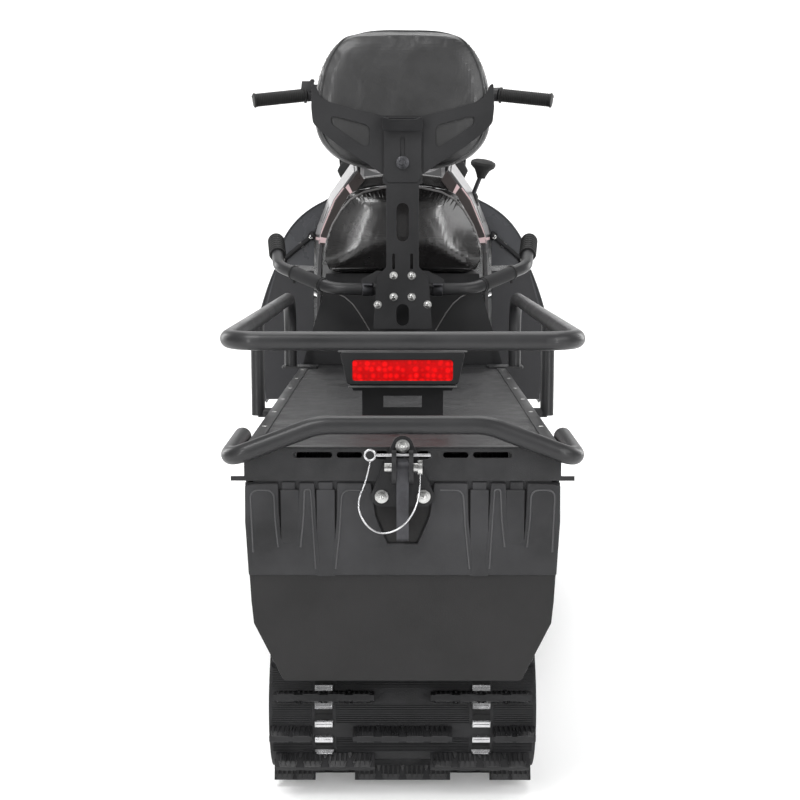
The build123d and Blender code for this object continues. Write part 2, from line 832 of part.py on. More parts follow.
SEAT_SECTIONS = (  # y, bottom half width, widest half width, its z, shoulder half width, its z, top z
    (SEAT_REAR, 160.0, 172.0, 745.0, 119.0, 879.0, SEAT_TOP),
    (-200.0, 165.0, 172.0, 740.0, 112.0, 855.0, 880.0),
    (COVER_REAR - 8.0, 120.0, 130.0, 745.0, 92.0, 855.0, 875.0),
    (SEAT_FRONT, 70.0, 80.0, 790.0, 60.0, 900.0, 915.0),
)


def make_seat():
    """Long seat that narrows between the tank covers."""
    with BuildPart() as seat:
        for y, low_half, wide_half, wide_z, top_half, shoulder_z, top_z in SEAT_SECTIONS:
            with BuildSketch(across(y)):
                with BuildLine():
                    Polyline(
                        (-top_half, shoulder_z), (-wide_half, wide_z), (-low_half, SEAT_BOTTOM),
                        (low_half, SEAT_BOTTOM), (wide_half, wide_z), (top_half, shoulder_z),
                    )
                    ThreePointArc((-top_half, shoulder_z), (0, top_z), (top_half, shoulder_z))
                make_face()
        loft(ruled=True)
    return seat.part


finish(make_seat_base(), "seat_base")
finish(make_seat(), "seat_cushion")

BRACKET_LOW = 612.0
BRACKET_HIGH = 716.0


def make_backrest_post():
    """Slotted plate with a channel on top and a bracket that reaches the seat base."""
    front = POST_Y + POST_SHEET
    with BuildPart() as post:
        with BuildSketch(across(front)):
            Polygon(
                (-59, BRACKET_LOW), (59, BRACKET_LOW), (52, BRACKET_HIGH), (POST_HALF, BRACKET_HIGH + 20),
                (POST_HALF, CHANNEL_LOW), (CHANNEL_HALF, CHANNEL_LOW), (CHANNEL_HALF, CHANNEL_TOP),
                (-CHANNEL_HALF, CHANNEL_TOP), (-CHANNEL_HALF, CHANNEL_LOW), (-POST_HALF, CHANNEL_LOW),
                (-POST_HALF, BRACKET_HIGH + 20), (-52, BRACKET_HIGH), align=None,
            )
            with Locations((0, 826)):
                SlotOverall(70, 12, rotation=90, mode=Mode.SUBTRACT)
            with Locations((0, 650)):
                SlotOverall(42, 10, rotation=90, mode=Mode.SUBTRACT)
            with Locations((-12, 753), (12, 753)):
                SlotOverall(30, 5, rotation=90, mode=Mode.SUBTRACT)
        extrude(amount=POST_SHEET)
        for side, _ in MIRROR:
            with BuildSketch(beside(side * 52)):
                Polygon(
                    (front, BRACKET_LOW), (BASE_REAR - SEAT_GAP, BRACKET_LOW),
                    (BASE_REAR - SEAT_GAP, 670), (front, BRACKET_HIGH), align=None,
                )
                with Locations((RAIL_Y, RAIL_Z)):
                    Circle(TUBE / 2 + PIN_GAP, mode=Mode.SUBTRACT)
            extrude(amount=-side * POST_SHEET)
    return post.part


def make_backrest_wings():
    """Pressed plate behind the backrest cushion with two triangular windows."""
    with BuildPart() as wings:
        with BuildSketch(across(WING_Y)):
            Polygon(
                (-WING_HALF, 1098), (-WING_HALF, 1029), (-45, 916), (45, 916),
                (WING_HALF, 1029), (WING_HALF, 1098), (150, 1098), (45, 1034),
                (-45, 1034), (-150, 1098), align=None,
            )
            for side, _ in MIRROR:
                Polygon(
                    (side * 148, 1042), (side * 70, 1010), (side * 70, 968), align=None,
                    mode=Mode.SUBTRACT,
                )
        extrude(amount=-SHEET)
    return wings.part


WING_Y = POST_Y + POST_SHEET + SEAT_GAP


def make_backrest_cushion():
    """Backrest cushion, plain and closed."""
    rear = WING_Y + SHEET + SEAT_GAP
    brow = BACK_TOP - 15
    arm = BACK_TOP - 95
    hip = BACK_LOW + 67
    foot = BACK_LOW + 12
    with BuildPart() as cushion:
        with BuildSketch(across(rear)):
            with BuildLine():
                Polyline((-140, foot), (-178, hip), (-178, arm), (-120, brow))
                ThreePointArc((-120, brow), (0, BACK_TOP), (120, brow))
                Polyline((120, brow), (178, arm), (178, hip), (140, foot))
                ThreePointArc((140, foot), (0, BACK_LOW), (-140, foot))
            make_face()
        extrude(amount=-BACK_THICK)
        fillet(cushion.edges().group_by(Axis.Y)[-1], 20)
    return cushion.part


finish(make_backrest_post(), "backrest_post")
finish(make_backrest_wings(), "backrest_wings")
finish(make_backrest_cushion(), "backrest_cushion")

GRAB_POINTS = (  # half of the grab rail, from the middle out
    (143.0, RAIL_Y, RAIL_Z),
    (262.0, -387.0, 732.0),
    (280.0, -247.0, 783.0),
)
GRIP_TUBE = 34.0
GRIP_FROM = 0.45          # share of the last run where the grip starts


def make_grab_rail():
    """Rail across the back of the seat with both ends turned up and forward."""
    right = list(GRAB_POINTS)
    left = [(-x, y, z) for x, y, z in reversed(GRAB_POINTS)]
    return bent_bar(left + right, [60, 70, 70, 60], TUBE)


def make_grab_grips():
    """Ribbed rubber grip over each end of the rail."""
    (xa, ya, za), (xb, yb, zb) = GRAB_POINTS[1:]
    with BuildPart() as grips:
        for side, _ in MIRROR:
            end = Vector(side * xb, yb, zb)
            start = Vector(side * xa, ya, za)
            first = start + (end - start) * GRIP_FROM
            tip = end + (end - start).normalized() * 6
            add(rod(first, tip, GRIP_TUBE))
    with BuildPart() as bored:
        add(grips.part)
        for side, _ in MIRROR:
            end = Vector(side * xb, yb, zb)
            start = Vector(side * xa, ya, za)
            add(rod(start, end + (end - start).normalized() * SEAT_GAP, TUBE + 2 * SEAT_GAP),
                mode=Mode.SUBTRACT)
    return bored.part


finish(make_grab_rail(), "grab_rail")
finish(make_grab_grips(), "grab_grips")

# Tank covers, console and cowl
COVER_LOW = DECK_Z + SEAT_GAP
COVER_SECTIONS = (  # y, then x and z of the cover's four corners from the top down
    (COVER_REAR, (110, 950), (164, 878), (200, 794), (TUNNEL_HALF, COVER_LOW)),
    (220.0, (120, 985), (176, 905), (210, 800), (TUNNEL_HALF, COVER_LOW)),
    (COVER_FRONT, (130, 985), (192, 900), (232, 800), (TUNNEL_HALF + 10, COVER_LOW)),
)
COVER_WALL = 6.0


def cover_loop(corners, side, wall):
    """Thin closed outline of a cover's section."""
    outer = [(side * x, z) for x, z in corners]
    top = corners[0]
    inner = [(side * (x - wall), z) for x, z in reversed(corners[1:])]
    inner.append((side * (top[0] - wall / 2), top[1] - wall))
    return outer + inner


def make_tank_cover(side):
    """Side cover of the fuel tank beside the seat's nose."""
    with BuildPart() as cover:
        for y, *corners in COVER_SECTIONS:
            with BuildSketch(across(y)):
                Polygon(*cover_loop(corners, side, COVER_WALL), align=None)
        loft(ruled=True)
    return cover.part


finish(pair(make_tank_cover), "tank_covers")

CONSOLE_REAR = SEAT_FRONT + 4.0
CONSOLE_HALF = 96.0


def column_place(z):
    """Point of the steering axis at height z."""
    return (0, BAR_Y + (BAR_Z - z) * tan(radians(RAKE)), z)


def make_dash_console():
    """Console over the tank with a bore for the steering column."""
    with BuildPart() as console:
        with BuildSketch(beside(0)):
            Polygon(
                (CONSOLE_REAR, COVER_LOW), (CONSOLE_REAR, 925), (200, 975), (COVER_FRONT, 985),
                (COVER_FRONT, 700), (TUNNEL_FRONT, COVER_LOW), align=None,
            )
        extrude(amount=CONSOLE_HALF, both=True)
        add(rod(column_place(1010), column_place(500), COLUMN_TUBE + 2 * MOVE_GAP), mode=Mode.SUBTRACT)
    return console.part


finish(make_dash_console(), "dash_console")

COWL = (  # y, crown z, shoulder x and z, waist x and z, hip x and z, sill x and z
    (COVER_FRONT + 20.0, 950.0, (205, 883), (345, 700), (400, 500), (375, 335)),
    (700.0, 925.0, (200, 850), (350, 680), (412, 480), (372, 350)),
    (1000.0, 800.0, (180, 745), (300, 610), (350, 490), (320, 410)),
    (1220.0, 670.0, (130, 635), (205, 550), (235, 490), (210, 440)),
    (NOSE_Y, 575.0, (75, 560), (115, 515), (125, 480), (110, 450)),
)
HOOK_TOP = 690.0
BOSS_X = 370.0
BRACE_Y = 520.0
BRACE_Z = 493.0
SEAM = 5.0


def hood_solid(grow, drop, nose):
    """Closed form under the hood, grown outward, cut off drop below the waist and nose behind the tip."""
    with BuildPart() as form:
        for y, crown, shoulder, waist, hip, sill in COWL:
            with BuildSketch(across(min(y, NOSE_Y - nose))):
                with BuildLine():
                    Polyline(
                        (-shoulder[0] - grow, shoulder[1] + grow), (-waist[0] - grow, waist[1] + SEAM - drop),
                        (waist[0] + grow, waist[1] + SEAM - drop), (shoulder[0] + grow, shoulder[1] + grow),
                    )
                    ThreePointArc(
                        (-shoulder[0] - grow, shoulder[1] + grow), (0, crown + grow),
                        (shoulder[0] + grow, shoulder[1] + grow),
                    )
                make_face()
        loft()
    return form.part


def make_hood():
    """Hood shell, open below and at the rear, with a closed nose."""
    outer = hood_solid(0, 0, 0)
    inner = hood_solid(-SKIN, 30, SKIN)
    with BuildPart() as outside:
        with BuildSketch(Plane.XY.offset(HINGE_Z + 76)):
            with Locations((0, HINGE_Y)):
                Rectangle(4 * HINGE_X, 120)
        extrude(amount=200)
        add(outer, mode=Mode.SUBTRACT)
    with BuildPart() as arms:
        for side, _ in MIRROR:
            with BuildSketch(beside(side * HINGE_X)):
                Polygon(
                    (HINGE_Y - 12, HINGE_Z), (HINGE_Y + 12, HINGE_Z), (HINGE_Y + 8, HOOK_TOP),
                    (HINGE_Y - 40, HOOK_TOP), align=None,
                )
                with Locations((HINGE_Y, HINGE_Z)):
                    Circle(12)
                    Circle(HINGE_PIN / 2 + PIN_GAP, mode=Mode.SUBTRACT)
            extrude(amount=-side * 6)
        add(outside.part, mode=Mode.SUBTRACT)
    with BuildPart() as hood:
        add(outer)
        add(inner, mode=Mode.SUBTRACT)
        add(arms.part)
    return hood.part




finish(make_hood(), "hood")


def make_side_panel(side):
    """Side shell of the cowl from the waist to the sill."""
    with BuildPart() as panel:
        for y, crown, shoulder, waist, hip, sill in COWL:
            with BuildSketch(across(y)):
                corners = ((waist[0], waist[1] - SEAM), hip, sill)
                Polygon(*cover_loop(corners, side, SKIN), align=None)
        loft(ruled=True)
        with BuildSketch(beside(side * BOSS_X)):
            with Locations((BRACE_Y, BRACE_Z)):
                Circle(14)
        extrude(amount=side * 30)
    return panel.part




finish(pair(make_side_panel), "side_panels")

SHIELD_TOP = 1235.0
SHIELD_LOW = 870.0
SHIELD_ARCS = (  # z, half width, y of the sides, y of the middle
    (SHIELD_LOW, 165.0, 585.0, 675.0),
    (SHIELD_TOP, 186.0, 470.0, 548.0),
)


def make_windshield():
    """Curved screen that stands on the hood."""
    body = hood_solid(SEAT_GAP, 30, 0)
    with BuildPart() as screen:
        for z, half, side_y, mid_y in SHIELD_ARCS:
            with BuildSketch(Plane.XY.offset(z)):
                with BuildLine():
                    ThreePointArc((-half, side_y), (0, mid_y), (half, side_y))
                    Line((half, side_y), (half, side_y - SKIN))
                    ThreePointArc((half, side_y - SKIN), (0, mid_y - SKIN), (-half, side_y - SKIN))
                    Line((-half, side_y - SKIN), (-half, side_y))
                make_face()
        loft(ruled=True)
        add(body, mode=Mode.SUBTRACT)
    return screen.part


finish(make_windshield(), "windshield")

FRAME_X = 120.0
FRAME_LOW = 250.0
FRAME_RAIL = (36.0, 44.0)
FRAME_FRONT = 1180.0
PAN_PADS = (700.0, 1040.0)
ROD_DIP = (640.0, 780.0)  # where the rails are cut down for the tie rods
ROD_DIP_Z = 278.0
BELLY = (  # y, bottom z, bottom half width, edge z, edge half width
    (TUNNEL_FRONT + SHEET, 190.0, 150.0, 246.0, 210.0),
    (700.0, 170.0, 150.0, 220.0, 215.0),
    (1060.0, 180.0, 120.0, 215.0, 175.0),
    (1170.0, 212.0, 66.0, 236.0, 98.0),
    (1300.0, 380.0, 55.0, 400.0, 92.0),
)


def until_floor(y):
    """Drop from the rails' underside into the pan's floor at a place along it."""
    for (back, low_back, *_), (front, low_front, *_) in zip(BELLY, BELLY[1:]):
        if back <= y <= front:
            floor = low_back + (low_front - low_back) * (y - back) / (front - back)
    return FRAME_LOW - SEAT_GAP - floor - SKIN / 2


def make_belly_pan():
    """Shallow pan under the engine."""
    with BuildPart() as pan:
        for y, low, low_half, edge, edge_half in BELLY:
            with BuildSketch(across(y)):
                Polygon(
                    (-edge_half, edge), (-low_half, low), (low_half, low), (edge_half, edge),
                    (edge_half - SKIN, edge), (low_half - SKIN, low + SKIN), (SKIN - low_half, low + SKIN),
                    (SKIN - edge_half, edge), align=None,
                )
        loft(ruled=True)
        for y in PAN_PADS:
            with BuildSketch(Plane.XY.offset(FRAME_LOW - SEAT_GAP)):
                with Locations((-FRAME_X, y), (FRAME_X, y)):
                    Rectangle(30, 40)
            extrude(amount=-until_floor(y))
    return pan.part


finish(make_belly_pan(), "belly_pan")

# Frame, engine and front bumper
ENGINE = (300.0, 260.0, 250.0)
ENGINE_Y = 870.0


AXIS = Vector(0, -sin(radians(RAKE)), cos(radians(RAKE)))
REARWARD = Vector(0, -cos(radians(RAKE)), -sin(radians(RAKE)))
BEARING_Z = 450.0
LOWER_ARM_Z = 272.0
SHOCK_SHARE = 0.5
SHOCK_BOLT = 12.0
SHOCK_HEAD = (165.0, 1050.0, 444.0)


def make_front_frame():
    """Two rails with cross members, shock towers, nose brackets, panel brace and column bearing."""
    width, tall = FRAME_RAIL
    rear = TUNNEL_FRONT + SEAT_GAP
    with BuildPart() as frame:
        for side, _ in MIRROR:
            with BuildSketch(across(rear)):
                with Locations((side * FRAME_X, FRAME_LOW + tall / 2)):
                    Rectangle(width, tall)
            extrude(amount=rear - FRAME_FRONT)
        for y in (rear + 20, 700, 1040, FRAME_FRONT - 20):
            with BuildSketch(across(y - 15)):
                with Locations((0, FRAME_LOW + tall / 2)):
                    Rectangle(2 * FRAME_X, tall * 0.7)
            extrude(amount=-30)
        with BuildSketch(Plane.XY.offset(ROD_DIP_Z)):
            with Locations((0, (ROD_DIP[0] + ROD_DIP[1]) / 2)):
                Rectangle(2 * FRAME_X + 2 * width, ROD_DIP[1] - ROD_DIP[0])
        extrude(amount=tall, mode=Mode.SUBTRACT)
        for side, _ in MIRROR:
            with BuildSketch(beside(side * (FRAME_X + width / 2))):
                Polygon(
                    (880, FRAME_LOW + 4), (1100, FRAME_LOW + 4), (1075, 470), (1035, 470),
                    (900, 430), align=None,
                )
            extrude(amount=-side * 8)
            bolt = SHOCK_HEAD[1:]
            add(rod((side * (FRAME_X + width / 2 - 4), *bolt), (side * (SHOCK_HEAD[0] + 14), *bolt), SHOCK_BOLT))
            with BuildSketch(beside(side * (HINGE_X + SEAT_GAP))):
                Polygon(
                    (FRAME_FRONT - 60, FRAME_LOW + 8), (FRAME_FRONT, FRAME_LOW + 8), (HINGE_Y + 14, HINGE_Z - 8),
                    (HINGE_Y + 10, HINGE_Z + 8), (HINGE_Y - 12, HINGE_Z + 8), align=None,
                )
            extrude(amount=side * 6)
            with BuildSketch(beside(side * (HINGE_X + SEAT_GAP))):
                with Locations((HINGE_Y, HINGE_Z)):
                    Circle(HINGE_PIN / 2)
            extrude(amount=-side * 14)
            with BuildSketch(Plane.XY.offset(FRAME_LOW + tall / 2)):
                with Locations((side * FRAME_X, BRACE_Y)):
                    Rectangle(24, 24)
            extrude(amount=BRACE_Z - FRAME_LOW - tall / 2)
        add(rod((SEAT_GAP - BOSS_X, BRACE_Y, BRACE_Z), (BOSS_X - SEAT_GAP, BRACE_Y, BRACE_Z), 22))
        with BuildSketch(Plane(origin=column_place(BEARING_Z), x_dir=(1, 0, 0), z_dir=AXIS)):
            Circle(26)
            with Locations((0, 38)):
                Rectangle(30, 60)
            Circle(COLUMN_TUBE / 2 + PIN_GAP, mode=Mode.SUBTRACT)
        extrude(amount=16)
        with BuildSketch(beside(0)):
            Polygon(
                (684, FRAME_LOW + 20), (712, FRAME_LOW + 20), (672, BEARING_Z + 36), (650, BEARING_Z + 40),
                align=None,
            )
        extrude(amount=12, both=True)
    return frame.part


def make_engine():
    """Engine as one plain block."""
    width, length, tall = ENGINE
    with BuildPart() as engine:
        with BuildSketch(Plane.XY.offset(FRAME_LOW + FRAME_RAIL[1] + SEAT_GAP)):
            with Locations((0, ENGINE_Y)):
                Rectangle(width - 60, length)
        extrude(amount=tall)
    return engine.part


def make_front_bumper():
    """Tube hoop ahead of the nose."""
    x = FRAME_X
    points = [
        (-x, FRAME_FRONT + SEAT_GAP, 272), (-x, 1270, 272), (-x - 40, 1400, 340), (-x - 40, 1420, 440),
        (x + 40, 1420, 440), (x + 40, 1400, 340), (x, 1270, 272), (x, FRAME_FRONT + SEAT_GAP, 272),
    ]
    return bent_bar(points, [60, 50, 40, 40, 50, 60], TUBE)


finish(make_front_frame(), "front_frame")
finish(make_engine(), "engine_block")
finish(make_front_bumper(), "front_bumper")

# Steering
BAR_TUBE = 22.0
BAR_HALF = (  # half of the handlebar from the clamp out
    (50.0, 0.0, 8.0),
    (120.0, 10.0, 62.0),
    (240.0, 4.0, 74.0),
    (380.0, -34.0, 56.0),
)
GRIP = 33.0


HUB_LOW = 70.0
HUB_HIGH = 200.0
ARM_RISE = 215.0
HUB = 44.0
BALL = 12.0
ROD_EYE = 10.0            # height of a tie rod's eye
ROD_TUBE = 14.0
STUD = 13.0               # free length of the stud under a ski leg's arm


def make_tie_rods():
    """Two rods from the pitman pin to the arms on the ski legs."""
    inner = Vector(*column_place(COLUMN_FOOT_Z)) + REARWARD * ARM_REACH
    with BuildPart() as rods:
        for index, (side, _) in enumerate(MIRROR):
            near = inner - AXIS * (ROD_EYE * index + ROD_EYE + SEAT_GAP)
            far = spindle_place(side, ARM_RISE) + REARWARD * ARM_REACH - AXIS * (ROD_EYE + STUD)
            for end in (near, far):
                with BuildSketch(Plane(origin=end, z_dir=AXIS)):
                    Circle(BALL / 2 + 7)
                extrude(amount=ROD_EYE - SEAT_GAP)
            lift = AXIS * (ROD_EYE / 2)
            along = (far - near).normalized()
            add(rod(near + lift + along * 8, far + lift - along * 8, 9))
            add(rod(near + lift + along * 40, far + lift - along * 40, ROD_TUBE))
            for end in (near, far):
                with BuildSketch(Plane(origin=end, z_dir=AXIS)):
                    Circle(BALL / 2 + PIN_GAP)
                extrude(amount=ROD_EYE + STUD, both=True, mode=Mode.SUBTRACT)
    return rods.part


def make_steering_column():
    """Raked column with the bar clamp on top and the pitman arm at the foot."""
    foot = Vector(*column_place(COLUMN_FOOT_Z))
    head = Vector(*column_place(BAR_Z))
    pin = foot + REARWARD * ARM_REACH
    with BuildPart() as column:
        add(rod(foot, head, COLUMN_TUBE))
        with BuildSketch(Plane(origin=head, x_dir=(1, 0, 0), z_dir=AXIS)):
            RectangleRounded(130, 40, 8)
        extrude(amount=16)
        with BuildSketch(Plane(origin=foot, x_dir=REARWARD, z_dir=AXIS)):
            with Locations((ARM_REACH / 2, 0)):
                SlotCenterToCenter(ARM_REACH, 34)
        extrude(amount=10)
        with BuildSketch(Plane(origin=pin, z_dir=-AXIS)):
            Circle(BALL / 2)
        extrude(amount=2 * ROD_EYE + 2)
    return column.part


def bar_points():
    """Points of the handlebar in the machine's frame."""
    right = [(x, BAR_Y + dy, BAR_Z + 18 + dz) for x, dy, dz in BAR_HALF]
    left = [(-x, y, z) for x, y, z in reversed(right)]
    return left + right


def make_handlebar():
    """Bent bar in the clamp."""
    points = bar_points()
    return bent_bar(points, [60, 50, 30, 30, 50, 60], BAR_TUBE)


def make_bar_grips():
    """Rubber grip on each end of the bar."""
    points = bar_points()
    with BuildPart() as grips:
        for start, end in ((points[1], points[0]), (points[-2], points[-1])):
            a = Vector(*start)
            b = Vector(*end)
            along = (b - a).normalized()
            add(rod(b - along * 128, b + along * 3, GRIP))
    with BuildPart() as bored:
        add(grips.part)
        for start, end in ((points[1], points[0]), (points[-2], points[-1])):
            add(rod(start, end, BAR_TUBE + 2 * SEAT_GAP), mode=Mode.SUBTRACT)
    return bored.part


def make_steering():
    """Column, bar and grips, each on the other."""
    handlebar = make_handlebar()
    with BuildPart() as column:
        add(make_steering_column())
        add(handlebar, mode=Mode.SUBTRACT)
    finish(column.part, "steering_column")
    finish(handlebar, "handlebar")
    finish(make_bar_grips(), "bar_grips")


def spindle_place(side, rise):
    """Point of a ski's steering axis, rise above its foot along the axis."""
    foot = Vector(side * STANCE / 2, SKI_FOOT_Y, SKI_FOOT_Z)
    return foot + AXIS * rise


make_steering()
finish(make_tie_rods(), "tie_rods")


def make_spindle(side):
    """Ski leg: cross boss, shaft and steering arm."""
    foot = spindle_place(side, 0)
    top = spindle_place(side, ARM_RISE)
    with BuildPart() as spindle:
        add(rod(foot, spindle_place(side, ARM_RISE + 12), SPINDLE))
        with BuildSketch(beside(foot.X)):
            with Locations((foot.Y, foot.Z)):
                Circle(20)
        extrude(amount=22, both=True)
        with BuildSketch(Plane(origin=spindle_place(side, 30), z_dir=AXIS)):
            Circle(HUB / 2)
        extrude(amount=HUB_LOW - 30 - SEAT_GAP)
        with BuildSketch(Plane(origin=top, x_dir=REARWARD, z_dir=AXIS)):
            with Locations((ARM_REACH / 2, 0)):
                SlotCenterToCenter(ARM_REACH, 30)
        extrude(amount=12)
        with BuildSketch(Plane(origin=top + REARWARD * ARM_REACH, z_dir=-AXIS)):
            Circle(BALL / 2)
        extrude(amount=ROD_EYE + STUD + 2)
        with BuildSketch(beside(foot.X)):
            with Locations((foot.Y, foot.Z)):
                Circle(6 + PIN_GAP)
        extrude(amount=22, both=True, mode=Mode.SUBTRACT)
    return spindle.part


SKI_FLAT_REAR = 570.0
SKI_FLAT_FRONT = 1225.0
SKI_LIFT = 190.0
SADDLE = 6.0
TIP_TRIM = 3.0            # how far the rounded outline cuts the tip back
LOOP_BITE = 3.0           # how far a ski loop's feet go into the ski
BUSH = 30.0
LOWER_ARM_Y = (860.0, 1100.0)
UPPER_ARM = (930.0, 400.0)


def make_ski(side):
    """Ski with an upturned tip, keel, saddle plates and the ski bolt."""
    middle = side * STANCE / 2
    low = KEEL
    reach = SKI_TIP_Y - SKI_FLAT_FRONT
    turn = 2 * atan2(SKI_LIFT, reach)
    radius = reach / sin(turn)
    centre = (SKI_FLAT_FRONT, low + radius)
    with BuildPart() as ski:
        with BuildSketch(beside(middle)):
            with BuildLine():
                Line((SKI_REAR, low + 24), (SKI_FLAT_REAR, low))
                Line((SKI_FLAT_REAR, low), (SKI_FLAT_FRONT, low))
                CenterArc(centre, radius, -90, degrees(turn))
                tip = (centre[0] + radius * sin(turn), centre[1] - radius * cos(turn))
                inner = radius - SKI_PLATE
                upper = (centre[0] + inner * sin(turn), centre[1] - inner * cos(turn))
                Line(tip, upper)
                CenterArc(centre, inner, -90, degrees(turn))
                Line((SKI_FLAT_FRONT, low + SKI_PLATE), (SKI_FLAT_REAR, low + SKI_PLATE))
                Line((SKI_FLAT_REAR, low + SKI_PLATE), (SKI_REAR, low + 24 + SKI_PLATE))
                Line((SKI_REAR, low + 24 + SKI_PLATE), (SKI_REAR, low + 24))
            make_face()
        extrude(amount=SKI_WIDTH, both=True)
        outline = SKI_TIP_Y - SKI_REAR + SKI_WIDTH
        with BuildSketch(Plane.XY):
            with Locations((middle, SKI_TIP_Y - TIP_TRIM - outline / 2)):
                SlotOverall(outline, SKI_WIDTH, rotation=90)
        extrude(amount=400, mode=Mode.INTERSECT)
        with BuildSketch(Plane.XY):
            with Locations((middle, (SKI_FLAT_REAR + SKI_FLAT_FRONT) / 2)):
                Rectangle(16, SKI_FLAT_FRONT - SKI_FLAT_REAR - 20)
        extrude(amount=KEEL + LOOP_BITE)
        base = low + SKI_PLATE - LOOP_BITE
        for hand in (-1, 1):
            with BuildSketch(beside(middle + hand * (22 + SEAT_GAP))):
                Polygon(
                    (SKI_FOOT_Y - 110, base), (SKI_FOOT_Y + 110, base),
                    (SKI_FOOT_Y + 24, SKI_FOOT_Z + 20), (SKI_FOOT_Y - 24, SKI_FOOT_Z + 20), align=None,
                )
            extrude(amount=hand * SADDLE)
        with BuildSketch(beside(middle)):
            with Locations((SKI_FOOT_Y, SKI_FOOT_Z)):
                Circle(6)
        extrude(amount=22 + SADDLE + 8, both=True)
    return ski.part


def make_ski_loop(side):
    """Tube handle over the ski's tip."""
    middle = side * STANCE / 2
    reach = SKI_TIP_Y - SKI_FLAT_FRONT
    turn = 2 * atan2(SKI_LIFT, reach)
    radius = reach / sin(turn)
    spot = turn - radians(14)
    inner = radius - SKI_PLATE + LOOP_BITE
    rest = (SKI_FLAT_FRONT + inner * sin(spot), KEEL + radius - inner * cos(spot))
    lift = (rest[0] - 46 * sin(spot), rest[1] + 46 * cos(spot))
    foot = SKI_FLAT_FRONT - 75
    points = [
        (middle, foot, KEEL + SKI_PLATE - LOOP_BITE), (middle, foot, 100), (middle, foot + 100, 178),
        (middle, *lift), (middle, *rest),
    ]
    return bent_bar(points, [40, 60, 30], 16)


def make_ski_arms(side):
    """Spindle housing with its lower and upper arms."""
    low = spindle_place(side, HUB_LOW)
    high = spindle_place(side, HUB_HIGH)
    root = side * (FRAME_X + FRAME_RAIL[0] / 2 + SEAT_GAP + BUSH / 2)
    knee = spindle_place(side, HUB_LOW + 24)
    with BuildPart() as arms:
        add(rod(low, high, HUB))
        for y in LOWER_ARM_Y:
            add(rod((root, y - 20, LOWER_ARM_Z), (root, y + 20, LOWER_ARM_Z), BUSH))
            add(rod((root, y, LOWER_ARM_Z), knee, 24))
        y, z = UPPER_ARM
        add(rod((root, y - 20, z), (root, y + 20, z), BUSH))
        add(rod((root, y, z), spindle_place(side, HUB_HIGH - 30), 20))
        add(rod(low, high, SPINDLE + 2 * PIN_GAP), mode=Mode.SUBTRACT)
        share = SHOCK_SHARE
        foot = Vector(root, LOWER_ARM_Y[1], LOWER_ARM_Z) * (1 - share) + knee * share
        with BuildSketch(beside(foot.X)):
            with Locations((foot.Y, foot.Z + 30)):
                Circle(SHOCK_BOLT / 2)
        extrude(amount=22, both=True)
        for hand in (-1, 1):
            with BuildSketch(beside(foot.X + hand * 16)):
                with Locations((foot.Y, foot.Z + 20)):
                    Rectangle(24, 44)
            extrude(amount=hand * 5)
    return arms.part


def make_front_shock(side):
    """Shock between the lower arm and the tower."""
    root = side * (FRAME_X + FRAME_RAIL[0] / 2 + SEAT_GAP + BUSH / 2)
    knee = spindle_place(side, HUB_LOW + 24)
    foot = Vector(root, LOWER_ARM_Y[1], LOWER_ARM_Z) * (1 - SHOCK_SHARE) + knee * SHOCK_SHARE
    bore = SHOCK_BOLT + 2 * PIN_GAP
    x, y, z = SHOCK_HEAD
    return shock((foot.X, foot.Y, foot.Z + 30), (side * x, y, z), (bore, bore), 24, 56, 8)


for side, name in MIRROR:
    finish(make_spindle(side), f"spindle_{name}")
    finish(make_ski(side) + make_ski_loop(side), f"ski_{name}")
finish(pair(make_ski_arms), "ski_arms")
finish(pair(make_front_shock), "front_shocks")
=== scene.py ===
import math

import bmesh
import bpy
from mathutils import Matrix, Vector
from mathutils.bvhtree import BVHTree


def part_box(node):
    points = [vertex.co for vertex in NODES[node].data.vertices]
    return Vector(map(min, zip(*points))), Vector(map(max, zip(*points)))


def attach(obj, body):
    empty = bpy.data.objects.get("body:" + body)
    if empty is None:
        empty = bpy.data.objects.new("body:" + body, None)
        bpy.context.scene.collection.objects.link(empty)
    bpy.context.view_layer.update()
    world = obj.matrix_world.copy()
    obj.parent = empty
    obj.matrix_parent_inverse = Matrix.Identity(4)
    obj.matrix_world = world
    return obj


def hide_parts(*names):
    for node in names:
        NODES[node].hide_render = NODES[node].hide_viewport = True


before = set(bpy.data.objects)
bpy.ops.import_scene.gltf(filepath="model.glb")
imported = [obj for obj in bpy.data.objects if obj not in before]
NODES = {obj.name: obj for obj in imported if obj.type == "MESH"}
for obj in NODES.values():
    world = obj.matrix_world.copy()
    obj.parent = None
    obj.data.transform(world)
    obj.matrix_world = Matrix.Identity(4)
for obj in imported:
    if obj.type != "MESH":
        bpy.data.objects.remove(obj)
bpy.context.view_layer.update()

# Camera: the photograph's place behind the vehicle, a little over the deck
camera = bpy.data.objects.new("camera", bpy.data.cameras.new("camera"))
bpy.context.scene.collection.objects.link(camera)
camera.location = (0.0, -3.297, 0.825)
camera.rotation_euler = (math.radians(90 - 7.4), 0, math.radians(0.11))
camera.data.sensor_width = 36
camera.data.lens = 61.6
camera.data.clip_end = 60
bpy.context.scene.camera = camera


# Materials
def node(tree, kind, **inputs):
    """Adds a shader node and sets its inputs by name or links them."""
    made = tree.nodes.new("ShaderNode" + kind)
    for name, value in inputs.items():
        socket = made.inputs[name.replace("_", " ")]
        if hasattr(value, "links"):
            tree.links.new(value, socket)
        else:
            socket.default_value = value
    return made


def rgba(color, share=1.0):
    return tuple(min(1.0, c * share) for c in color[:3]) + (1.0,)


